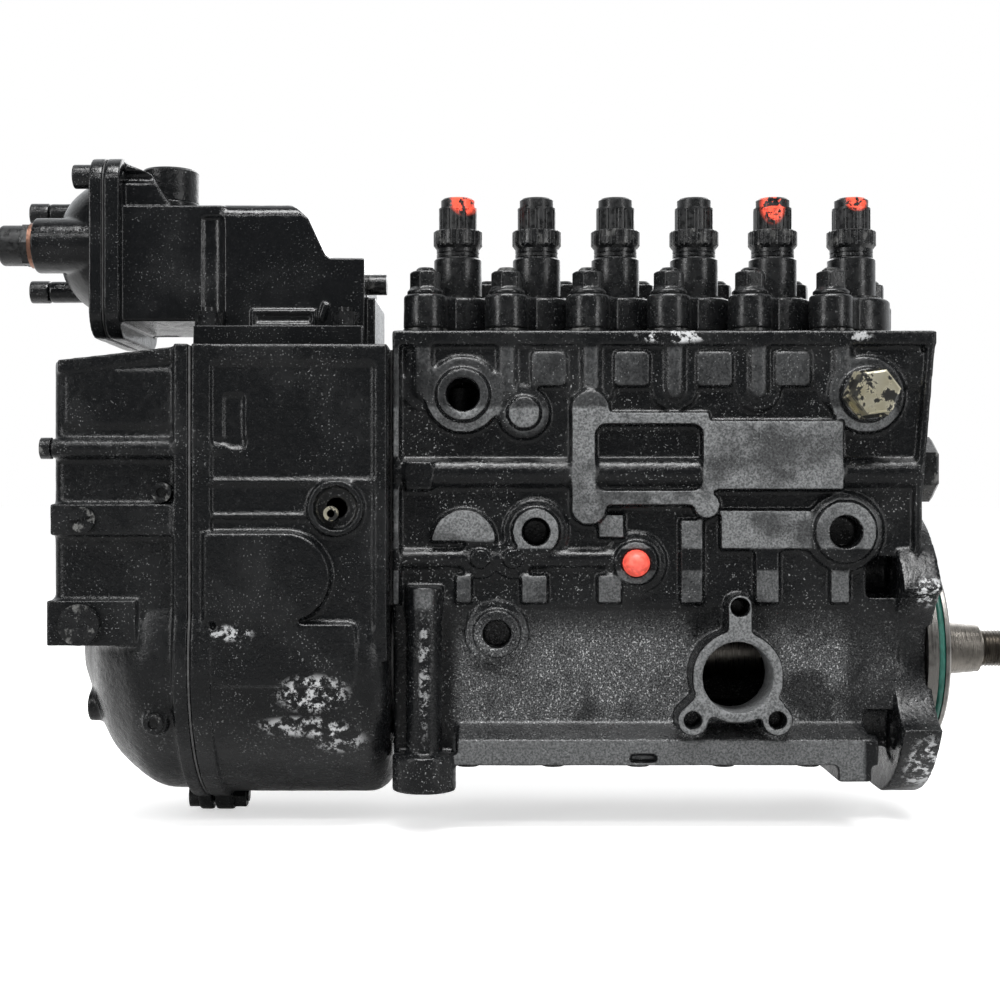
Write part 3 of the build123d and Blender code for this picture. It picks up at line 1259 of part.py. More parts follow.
# screws of the cover, round the joint flange, and the lower lug bolt with its nut
lug_bolt_z = flange_lug_z - 3.0
with BuildPart() as cover_screws:
    for y, z in cover_screw_points:
        with Locations(to_governor(cover_depth_left, y, z)):
            Cylinder(screw_head_radius, screw_head_height, align=BASE)
            Cylinder(socket_radius, screw_head_height, align=BASE, mode=Mode.SUBTRACT)
        with Locations(to_drive(cover_depth_left - screw_head_height + 2.6, y, z)):
            Cylinder(cover_screw_shank, governor_left_face + 7.0 - cover_depth_left + screw_head_height - 2.6,
                     align=BASE)
    for x, z in (strip_screw, dome_screw):
        with Locations(to_front(x, -cover_half_width - 1.0, z)):
            Cylinder(4.0, 3.0, align=BASE)
            Cylinder(2.2, 3.0, align=BASE, mode=Mode.SUBTRACT)
            Cylinder(2.0, 8.0, align=TOP)
            Cylinder(2.3, 1.4, align=BASE)
    with Locations(to_governor(cover_right - cover_flange, 0, lug_bolt_z)):
        Cylinder(5.4, 4.5, align=BASE)
    with Locations(to_drive(cover_right - cover_flange, 0, lug_bolt_z)):
        Cylinder(3.0, 2 * cover_flange + 8.8, align=BASE)
    with BuildSketch(Plane.YZ.offset(governor_left_face + cover_flange + 2.0)):
        with Locations((0, lug_bolt_z)):
            RegularPolygon(5.0, 6, major_radius=False)
    extrude(amount=5.0)
save(cover_screws, "governor_cover_screws")

# slotted plug in the pad strip, socket plug in the lower block, and the two lower plugs
with BuildPart() as cover_plugs:
    with Locations(to_front(slot_plug[0], -cover_half_width - 4.0, slot_plug[1])):
        Cylinder(5.2, 1.4, align=BASE)
        Cylinder(3.0, 3.0, align=TOP)
    with Locations(to_front(slot_plug[0], -cover_half_width - 5.4, slot_plug[1])):
        Box(11.0, 1.1, 1.0, align=TOP, rotation=(0, 0, 15), mode=Mode.SUBTRACT)
    with Locations(to_front(socket_plug[0], -cover_half_width - 4.0, socket_plug[1])):
        Cylinder(8.4, 3.0, align=BASE)
        Cylinder(5.4, 2.6, align=BASE, mode=Mode.SUBTRACT)
        Cylinder(2.6, 1.6, align=BASE)
save(cover_plugs, "governor_cover_plugs")

with BuildPart() as viewing_plug:
    with Locations(to_front(viewing_port[0] - 2.0, -governor_half_width + 1.8, viewing_port[1] - 2.2)):
        Cylinder(3.0, 3.4, align=BASE)
        Cylinder(1.6, 3.4, align=BASE, mode=Mode.SUBTRACT)
save(viewing_plug, "viewing_port_plug")

# ---------------------------------------------------------------- flyweights on the camshaft
carrier_right = -238.0
carrier_left = governor_journal_left
hub_radius = 14.0
plate_disc_radius = 16.5
pivot_x = -270.5
pivot_radius = 25.0
pivot_pin_radius = 2.0
fork_inner = 11.0
fork_outer = 14.0
weight_inner = 21.0
weight_travel = 3.0          # either way from mid travel
weight_left = -260.0
weight_right = carrier_right
weight_outer_radius = 46.0
guide_radius = 3.5
guide_x = (weight_left + weight_right) / 2 + 1.5
guide_top = 50.0
pocket_radius = 10.0
pocket_bottom = 30.0
crank_arm = 14.0
crank_drop = 17.0
crank_ball = 2.2
groove_width = 2 * crank_ball + 0.8
weight_slot = 2 * crank_ball + 1.4

with BuildPart() as carrier:
    with Locations(to_drive(carrier_left, 0, 0)):
        Cylinder(hub_radius, carrier_right - carrier_left, align=BASE)
        Cylinder(plate_disc_radius, 3.0, align=BASE)
    for side in (-1, 1):
        with Locations((pivot_x, side * (fork_inner + fork_outer) / 2, 0)):
            Box(10.0, fork_outer - fork_inner, 2 * pivot_radius + 8.0)
        with Locations(((pivot_x + carrier_left) / 2 + 2.0, side * (fork_inner + fork_outer) / 2, 0)):
            Box(carrier_left - pivot_x + 2.0, fork_outer - fork_inner, 22.0)
        with Locations(to_front(pivot_x, fork_outer, side * pivot_radius)):
            Cylinder(pivot_pin_radius, 2 * fork_outer, align=BASE)
    for side in (-1, 1):
        with Locations(Location((guide_x, 0, 0), (90 - side * 90, 0, 0))):
            Cylinder(guide_radius, guide_top, align=BASE)
        with Locations(Location((guide_x, 0, side * (guide_top - 4.0)), (90 - side * 90, 0, 0))):
            Cylinder(pocket_radius - 1.2, 3.4, align=BASE)
    with Locations(to_drive(carrier_left - 1.0, 0, 0)):
        Cylinder(carrier_seat_radius, carrier_right - carrier_left + 2.0, align=BASE, mode=Mode.SUBTRACT)
save(carrier, "flyweight_carrier")

with BuildPart() as governor_springs:
    for side in (-1, 1):
        with BuildPart(mode=Mode.PRIVATE) as weight_spring:
            with BuildLine() as weight_spring_path:
                Helix(2.7, 8.1, 7.0, center=(0, 0, guide_top - 4.0 - 8.1 - 1.05))
            with BuildSketch(Plane(origin=weight_spring_path.line @ 0, z_dir=weight_spring_path.line % 0)):
                Circle(0.9)
            sweep(path=weight_spring_path.line, is_frenet=True)
        with Locations(Location((guide_x, 0, 0), (90 - side * 90, 0, 0))):
            add(weight_spring.part)
save(governor_springs, "governor_springs")

for number, side in ((1, 1), (2, -1)):
    with BuildPart() as weight:
        with BuildSketch(Plane.YZ.offset(weight_left)):
            Circle(weight_outer_radius)
            with Locations((0, weight_inner)):
                Rectangle(40.0, 40.0, align=(Align.CENTER, Align.MIN), mode=Mode.INTERSECT)
        extrude(amount=weight_right - weight_left)
        with Locations((guide_x, 0, 0)):
            Cylinder(guide_radius + 0.1, 60.0, align=BASE, mode=Mode.SUBTRACT)
        with Locations((guide_x, 0, pocket_bottom)):
            Cylinder(pocket_radius, 60.0, align=BASE, mode=Mode.SUBTRACT)
        # slot that takes the ball of the bell crank
        with Locations((weight_left - 1.0, 0, pivot_radius)):
            Box(10.0, 7.0, weight_slot, align=(Align.MIN, Align.CENTER, Align.CENTER), mode=Mode.SUBTRACT)
        if side < 0:
            mirror(about=Plane.XY, mode=Mode.REPLACE)
    save(weight, f"flyweight_{number}")

for number, side in ((1, 1), (2, -1)):
    with BuildPart() as crank:
        with Locations(to_front(pivot_x, 2.5, pivot_radius)):
            Cylinder(4.4, 5.0, align=BASE)
        with Locations((pivot_x, 0, pivot_radius)):
            Box(crank_arm - 1.0, 4.0, 2.4, align=(Align.MIN, Align.CENTER, Align.CENTER))
            Box(3.2, 4.0, crank_drop - 1.0, align=(Align.CENTER, Align.CENTER, Align.MAX))
        with Locations((pivot_x + crank_arm, 0, pivot_radius), (pivot_x, 0, pivot_radius - crank_drop)):
            Sphere(crank_ball)
        with Locations(to_front(pivot_x, 5.0, pivot_radius)):
            Cylinder(pivot_pin_radius + running_fit, 10.0, align=BASE, mode=Mode.SUBTRACT)
        if side < 0:
            mirror(about=Plane.XY, mode=Mode.REPLACE)
    save(crank, f"bell_crank_{number}")

# sliding bolt: a rod with one groove for the crank balls and one for the rocking lever
bolt_radius = 4.8
bolt_collar_radius = 10.2
bolt_collar_width = 1.6
bolt_groove_x = pivot_x
lever_low_x = throttle_x
lever_pin_radius = 2.2
lever_groove = 2 * lever_pin_radius + 0.8
with BuildPart() as sliding_bolt:
    bolt_left = lever_low_x - lever_groove / 2 - bolt_collar_width
    bolt_right = bolt_groove_x + groove_width / 2 + bolt_collar_width
    with Locations(to_drive(bolt_left, 0, 0)):
        Cylinder(bolt_radius, bolt_right - bolt_left, align=BASE)
    for x in (bolt_groove_x - groove_width / 2 - bolt_collar_width, bolt_groove_x + groove_width / 2):
        with Locations(to_drive(x, 0, 0)):
            Cylinder(bolt_collar_radius, bolt_collar_width, align=BASE)
    for x in (bolt_left, lever_low_x + lever_groove / 2):
        with Locations(to_drive(x, 0, 0)):
            Cylinder(8.0, bolt_collar_width, align=BASE)
save(sliding_bolt, "sliding_bolt")

# rocking lever on the throttle shaft: fork below, upright and pin to the rack above
upright_y = rack_y + rack_radius + 3.2
fork_y = 10.4
upper_arm = rack_z - throttle_z
with BuildPart() as rocking_lever:
    with Locations(to_back(throttle_x, upright_y - 3.0, throttle_z)):
        Cylinder(throttle_shaft_radius + 4.0, fork_y - upright_y + 9.0, align=BASE)
    with Locations((throttle_x, upright_y, throttle_z)):
        Box(8.0, 5.0, upper_arm + 4.0, align=(Align.CENTER, Align.CENTER, Align.MIN))
    with Locations(to_front(throttle_x, upright_y, rack_z)):
        Cylinder(rack_pin_radius, 11.5, align=BASE)
    for side in (-1, 1):
        with Locations((throttle_x, side * (fork_y + 1.6), throttle_z)):
            Box(7.0, 3.2, throttle_z + 3.0, align=(Align.CENTER, Align.CENTER, Align.MAX))
    with Locations(to_front(throttle_x, fork_y + 1.0, 0)):
        Cylinder(lever_pin_radius, fork_y + 1.0 - bolt_radius - 0.5, align=BASE)
    with Locations(to_back(throttle_x, -fork_y - 1.0, 0)):
        Cylinder(lever_pin_radius, fork_y + 1.0 - bolt_radius - 0.5, align=BASE)
    with Locations(to_back(throttle_x, -60.0, throttle_z)):
        Cylinder(throttle_shaft_radius + running_fit, 120.0, align=BASE, mode=Mode.SUBTRACT)
save(rocking_lever, "rocking_lever")

# throttle shaft through the housing with its lever on the back side
lever_face_y = governor_half_width + 5.0
with BuildPart() as throttle_lever:
    with Locations(to_back(throttle_x, -governor_half_width + 3.0, throttle_z)):
        Cylinder(throttle_shaft_radius, 2 * governor_half_width + 10.0, align=BASE)
    with Locations(to_back(throttle_x, governor_half_width + 3.0, throttle_z)):
        Cylinder(9.0, 8.0, align=BASE)
    with BuildSketch(Plane.XZ.offset(-lever_face_y - 5.0)):
        with BuildLine():
            Polyline(
                (throttle_x - 8.0, throttle_z), (throttle_x + 8.0, throttle_z),
                (throttle_x + 4.0, throttle_z + 64.0), (throttle_x - 10.0, throttle_z + 64.0), close=True,
            )
        make_face()
        with Locations((throttle_x - 3.0, throttle_z + 64.0)):
            Circle(7.0)
            Circle(3.2, mode=Mode.SUBTRACT)
        with Locations((throttle_x - 2.0, throttle_z + 44.0)):
            Circle(2.6, mode=Mode.SUBTRACT)
    extrude(amount=5.0)
    with BuildSketch(Plane.XZ.offset(-lever_face_y - 6.0)):
        with Locations((throttle_x, throttle_z)):
            RegularPolygon(6.5, 6, major_radius=False)
    extrude(amount=-5.0)
save(throttle_lever, "throttle_lever")

with BuildPart() as stop_lever:
    with Locations(to_back(stop_x, inner_half_width - 6.0, stop_z)):
        Cylinder(stop_shaft_radius, governor_half_width - inner_half_width + 14.0, align=BASE)
    with Locations(to_back(stop_x, inner_half_width - 10.0, stop_z)):
        Cylinder(7.0, 6.0, align=BASE)
    with BuildSketch(Plane.XZ.offset(-governor_half_width - 8.0)):
        with Locations((stop_x, stop_z)):
            Circle(7.5)
        with BuildLine():
            Polyline(
                (stop_x - 6.5, stop_z), (stop_x + 6.5, stop_z), (stop_x + 4.0, stop_z + 40.0),
                (stop_x - 4.0, stop_z + 40.0), close=True,
            )
        make_face()
        with Locations((stop_x, stop_z + 40.0)):
            Circle(5.5)
            Circle(2.6, mode=Mode.SUBTRACT)
    extrude(amount=4.0)
save(stop_lever, "stop_lever")

# ================================================================ boost compensator
boost_top = 191.9
boost_right = -239.2
boost_half_width = 35.0
boost_hood_left = -299.9
boost_shoulder_z = 168.5
boost_deck_z = 138.6
boost_deck_left = -309.6
boost_deck_right = -239.3
boost_deck_half = 46.2
boost_block_bottom = 141.6
boost_block_top = 191.0
diaphragm_faces = (-355.2, -348.9, -342.3)
diaphragm_plate_z = 173.2
diaphragm_half = 38.6
diaphragm_corner = 12.0
diaphragm_thickness = 0.6
boost_bore = 30.0
boost_spring_bore = 12.5
boost_rod_radius = 4.0
rod_travel = 6.0
turret_x = -328.6
turret_radius = 13.0
turret_top = 197.6
cap_disc_radius = 12.6
cap_disc_height = 14.4
corner_screws = [(-28.0, 204.0), (28.0, 204.0), (28.0, 144.0)]
long_screws = [(20.0, 196.4), (20.0, 161.0)]
flange_screws = corner_screws + long_screws
flange_screw_hole = 2.5
boost_stud_points = [(x, y) for y in (-40.5, 40.5) for x in (-304.0, -246.8)]
boost_stud_radius = 3.0
channel_radius = 6.6
channel_height = 47.4
web_inner = 16.0
web_thickness = 12.0
rod_bore_length = 82.0


with BuildPart() as boost_housing:
    # base deck on the governor
    with Locations(((boost_deck_left + boost_deck_right) / 2, 0, governor_top)):
        Box(boost_deck_right - boost_deck_left, 2 * boost_deck_half, boost_deck_z - governor_top, align=BASE)
    # hood: flat top, long slope and shoulder, drawn from the front
    with BuildSketch(Plane.XZ):
        with BuildLine():
            Polyline(
                (boost_hood_left, governor_top),
                (boost_hood_left, boost_top),
                (-270.0, boost_top),
                (-263.0, boost_top - 6.6),
                (-255.8, boost_shoulder_z + 1.4),
                (-254.0, boost_shoulder_z),
                (boost_right, boost_shoulder_z),
                (boost_right, governor_top),
                close=True,
            )
        make_face()
    extrude(amount=boost_half_width, both=True)
    fillet(boost_housing.edges().filter_by(Axis.X).group_by(Axis.Z)[-1], 7.0)
    # middle block between the hood and the diaphragm flange
    with Locations((diaphragm_faces[2], 0, boost_block_bottom)):
        Box(boost_hood_left - diaphragm_faces[2] + 1.0, 2 * boost_half_width - 2.0,
            boost_block_top - boost_block_bottom, align=(Align.MIN, Align.CENTER, Align.MIN))
    # diaphragm flange
    with BuildSketch(Plane.YZ.offset(diaphragm_faces[1])):
        with Locations((0, diaphragm_plate_z)):
            RectangleRounded(2 * diaphragm_half, 2 * diaphragm_half, diaphragm_corner)
    extrude(amount=diaphragm_faces[2] - diaphragm_faces[1])
    # webs from the diaphragm flange to the turret
    for side in (-1, 1):
        with BuildSketch(Plane.XZ.offset(-side * web_inner - (side > 0) * web_thickness)):
            with BuildLine():
                Polyline(
                    (diaphragm_faces[2], boost_block_top - 3.0),
                    (diaphragm_faces[2], boost_block_top + 19.0),
                    (turret_x - 3.0, boost_block_top + 15.0),
                    (turret_x + 8.0, boost_block_top - 3.0),
                    close=True,
                )
            make_face()
        extrude(amount=web_thickness)
    # upright channels beside the studs at the hood's left end
    for side in (-1, 1):
        with Locations((boost_stud_points[0][0], side * (boost_half_width + 3.5), boost_deck_z)):
            Cylinder(channel_radius, channel_height, align=BASE, mode=Mode.SUBTRACT)
    # turret under the round cap
    with Locations((turret_x, 0, boost_block_top - 6.0)):
        Cylinder(turret_radius, turret_top - boost_block_top + 6.0, align=BASE)
    # raised outline and curved rib on the front
    with BuildSketch(Plane.XZ.offset(boost_half_width)):
        with Locations((-273.4, 142.8)):
            Rectangle(27.0, 6.8)
            Rectangle(24.0, 4.0, mode=Mode.SUBTRACT)
        with Locations((-256.4, 145.5)):
            Rectangle(2.4, 7.0, rotation=-18)
    extrude(amount=1.2)
    # right end plate
    with Locations((boost_right, 0, governor_top + 1.0)):
        Box(4.0, 2 * boost_half_width - 14.0, 22.0, align=(Align.MIN, Align.CENTER, Align.MIN))
    # ---- cavities: diaphragm chamber, spring bore, rod bore, passage into the governor
    with Locations(to_drive(diaphragm_faces[1] - 1.0, 0, boost_axis_z)):
        Cylinder(boost_bore, 5.0, align=BASE, mode=Mode.SUBTRACT)
        Cylinder(boost_spring_bore, 54.0, align=BASE, mode=Mode.SUBTRACT)
        Cylinder(boost_rod_radius + running_fit, rod_bore_length, align=BASE, mode=Mode.SUBTRACT)
    with Locations((-268.0, 0, governor_top - 1.0)):
        Box(44.0, 44.0, 34.0, align=BASE, mode=Mode.SUBTRACT)
    for x, y in boost_stud_points:
        with Locations((x, y, governor_top - 1.0)):
            Cylinder(boost_stud_radius + seat_gap, 12.0, align=BASE, mode=Mode.SUBTRACT)
    with Locations(*[to_drive(diaphragm_faces[1] - 1.0, y, z) for y, z in flange_screws]):
        Cylinder(flange_screw_hole, 20.0, align=BASE, mode=Mode.SUBTRACT)
save(boost_housing, "boost_housing")

dome_depth = 19.1
dome_radius = 30.0
nozzle_y = -20.0
nozzle_z = 175.8
nozzle_boss_left = -382.0
nozzle_boss_radius = 11.9
nozzle_radius = 8.7
nozzle_left = -397.3
nozzle_shoulder = -387.0
copper_washer_thickness = 2.0
port_thread_radius = 5.0
cover_joint = diaphragm_faces[1] - diaphragm_thickness
long_boss_left = -387.5
long_boss_radius = 5.0

with BuildPart() as boost_cover:
    with BuildSketch(Plane.YZ.offset(diaphragm_faces[0])):
        with Locations((0, diaphragm_plate_z)):
            RectangleRounded(2 * diaphragm_half, 2 * diaphragm_half, diaphragm_corner)
    extrude(amount=cover_joint - diaphragm_faces[0])
    # domed middle
    with BuildSketch(Plane.XY):
        with BuildLine():
            Polyline(
                (diaphragm_faces[0] - dome_depth, 15.0),
                (diaphragm_faces[0] - dome_depth, 0),
                (diaphragm_faces[0], 0),
                (diaphragm_faces[0], dome_radius),
            )
            ThreePointArc(
                (diaphragm_faces[0], dome_radius),
                (diaphragm_faces[0] - 11.5, dome_radius - 5.4),
                (diaphragm_faces[0] - dome_depth, 15.0),
            )
        make_face()
    dome = revolve(axis=Axis.X, mode=Mode.PRIVATE)
    with Locations((0, 0, boost_axis_z)):
        add(dome)
    # nozzle boss and the bosses of the two long screws
    with Locations(to_governor(diaphragm_faces[0], nozzle_y, nozzle_z)):
        Cylinder(nozzle_boss_radius, diaphragm_faces[0] - nozzle_boss_left, align=BASE)
    with Locations(*[to_governor(diaphragm_faces[0], y, z) for y, z in long_screws]):
        Cylinder(long_boss_radius, diaphragm_faces[0] - long_boss_left, align=BASE)
    # cavity before the diaphragm and the boost port
    with Locations(to_governor(cover_joint + 0.1, 0, boost_axis_z)):
        Cylinder(24.0, 9.0, align=BASE, mode=Mode.SUBTRACT)
    with Locations(to_governor(cover_joint - 8.0, 0, boost_axis_z)):
        Cone(24.0, 9.0, 12.0, align=BASE, mode=Mode.SUBTRACT)
    with Locations(to_governor(cover_joint, nozzle_y, nozzle_z)):
        Cylinder(port_thread_radius, cover_joint - nozzle_boss_left + 1.0, align=BASE, mode=Mode.SUBTRACT)
    with Locations(*[to_governor(cover_joint + 1.0, y, z) for y, z in flange_screws]):
        Cylinder(flange_screw_hole, 50.0, align=BASE, mode=Mode.SUBTRACT)
save(boost_cover, "boost_cover")

with BuildPart() as boost_diaphragm:
    with BuildSketch(Plane.YZ.offset(cover_joint)):
        with Locations((0, diaphragm_plate_z)):
            RectangleRounded(2 * diaphragm_half - 0.6, 2 * diaphragm_half - 0.6, diaphragm_corner)
        with Locations((0, boost_axis_z)):
            Circle(20.5, mode=Mode.SUBTRACT)
        with Locations(*flange_screws):
            Circle(flange_screw_hole, mode=Mode.SUBTRACT)
    extrude(amount=diaphragm_thickness)
save(boost_diaphragm, "boost_diaphragm")

# rod with its pressure plate, drawn at the rest end of its stroke
plate_x = -352.9
boost_rod_right = -276.0
with BuildPart() as boost_rod:
    with Locations(to_drive(plate_x - 2.4, 0, boost_axis_z)):
        Cylinder(20.0, 2.4, align=BASE)
        Cylinder(boost_rod_radius, boost_rod_right - plate_x + 2.4, align=BASE)
    with Locations(to_drive(plate_x, 0, boost_axis_z)):
        Cylinder(8.0, 4.0, align=BASE)
save(boost_rod, "boost_rod")

boost_wire_radius = 0.9
boost_spring_left = plate_x + rod_travel + boost_wire_radius + 0.3
boost_spring_right = diaphragm_faces[1] - 1.0 + 54.0 - boost_wire_radius - 0.3
with BuildPart() as spring_blank:
    with BuildLine() as boost_spring_path:
        Helix(5.2, boost_spring_right - boost_spring_left, 10.6)
    with BuildSketch(Plane(origin=boost_spring_path.line @ 0, z_dir=boost_spring_path.line % 0)):
        Circle(boost_wire_radius)
    sweep(path=boost_spring_path.line, is_frenet=True)
with BuildPart() as boost_spring:
    with Locations(to_drive(boost_spring_left, 0, boost_axis_z)):
        add(spring_blank.part)
save(boost_spring, "boost_spring")

boost_head_radius = 5.1
boost_head_height = 8.6
boost_shank_radius = 2.4
flange_depth = diaphragm_faces[2] - diaphragm_faces[0]
with BuildPart() as boost_cover_screws:
    for y, z, seat in [(y, z, diaphragm_faces[0]) for y, z in corner_screws] + [
        (y, z, long_boss_left) for y, z in long_screws
    ]:
        with Locations(to_governor(seat, y, z)):
            Cylinder(boost_head_radius, boost_head_height, align=BASE)
        with Locations(to_drive(seat, y, z)):
            Cylinder(boost_shank_radius, diaphragm_faces[0] - seat + flange_depth, align=BASE)
        with Locations(to_governor(seat - boost_head_height, y, z)):
            Cylinder(socket_radius, 2.8, align=TOP, mode=Mode.SUBTRACT)
save(boost_cover_screws, "boost_cover_screws")

with BuildPart() as boost_fasteners:
    for x, y in boost_stud_points:
        with Locations((x, y, governor_top + 1.0)):
            Cylinder(boost_stud_radius, boost_deck_z - governor_top + 7.0, align=BASE)
        with BuildSketch(Plane.XY.offset(boost_deck_z)):
            with Locations((x, y)):
                RegularPolygon(5.0, 6, major_radius=False, rotation=10)
        extrude(amount=6.0)
    # end bolt of the hood
    with Locations(to_drive(boost_right, -10.0, 160.3)):
        Cylinder(4.5, 7.7, align=BASE)
save(boost_fasteners, "boost_fasteners")

with BuildPart() as boost_top_cap:
    with Locations((turret_x, 0, turret_top)):
        Cylinder(cap_disc_radius, cap_disc_height, align=BASE)
    chamfer(boost_top_cap.faces().sort_by(Axis.Z)[-1].edges(), 1.0)
    with Locations((turret_x, 0, turret_top + cap_disc_height)):
        Cylinder(7.0, 1.6, align=TOP, mode=Mode.SUBTRACT)
save(boost_top_cap, "boost_top_cap")

with BuildPart() as copper_washer:
    with Locations(to_governor(nozzle_boss_left, nozzle_y, nozzle_z)):
        Cylinder(nozzle_radius + 1.0, copper_washer_thickness, align=BASE)
        Cylinder(port_thread_radius, copper_washer_thickness, align=BASE, mode=Mode.SUBTRACT)
save(copper_washer, "boost_port_washer")

with BuildPart() as boost_port_plug:
    with Locations(to_drive(nozzle_left, nozzle_y, nozzle_z)):
        Cylinder(nozzle_radius, nozzle_shoulder - nozzle_left, align=BASE)
    fillet(boost_port_plug.edges().filter_by(GeomType.CIRCLE).sort_by(Axis.X)[0], 1.6)
    with BuildSketch(Plane.YZ.offset(nozzle_shoulder)):
        with Locations((nozzle_y, nozzle_z)):
            RegularPolygon(nozzle_radius - 0.3, 6, major_radius=False)
    extrude(amount=nozzle_boss_left - copper_washer_thickness - nozzle_shoulder)
    with Locations(to_drive(nozzle_shoulder, nozzle_y, nozzle_z)):
        Cylinder(port_thread_radius - seat_gap, nozzle_boss_left + 10.0 - nozzle_shoulder, align=BASE)
save(boost_port_plug, "boost_port_plug")
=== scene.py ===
import bmesh
import bpy
import json
import math
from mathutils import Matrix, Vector
import numpy


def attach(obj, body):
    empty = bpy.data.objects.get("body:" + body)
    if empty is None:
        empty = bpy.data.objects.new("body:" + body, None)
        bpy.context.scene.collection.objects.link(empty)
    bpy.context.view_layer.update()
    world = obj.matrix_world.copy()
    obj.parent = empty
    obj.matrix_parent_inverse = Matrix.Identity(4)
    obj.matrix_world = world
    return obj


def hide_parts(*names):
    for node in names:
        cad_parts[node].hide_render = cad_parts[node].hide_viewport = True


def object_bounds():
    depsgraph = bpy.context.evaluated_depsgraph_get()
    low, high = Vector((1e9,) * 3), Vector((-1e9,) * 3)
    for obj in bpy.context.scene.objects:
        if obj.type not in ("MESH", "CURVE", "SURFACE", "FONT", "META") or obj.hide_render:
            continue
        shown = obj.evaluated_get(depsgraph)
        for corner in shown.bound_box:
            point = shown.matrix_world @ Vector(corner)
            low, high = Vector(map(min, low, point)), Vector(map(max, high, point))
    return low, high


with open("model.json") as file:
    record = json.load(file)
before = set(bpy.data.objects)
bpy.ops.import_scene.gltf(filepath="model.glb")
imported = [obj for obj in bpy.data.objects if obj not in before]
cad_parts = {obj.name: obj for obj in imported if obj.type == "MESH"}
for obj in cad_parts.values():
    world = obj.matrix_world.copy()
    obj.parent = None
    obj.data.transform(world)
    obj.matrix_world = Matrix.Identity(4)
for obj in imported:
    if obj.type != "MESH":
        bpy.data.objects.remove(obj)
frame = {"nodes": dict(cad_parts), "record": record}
nodes = frame["nodes"]
cad_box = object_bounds()


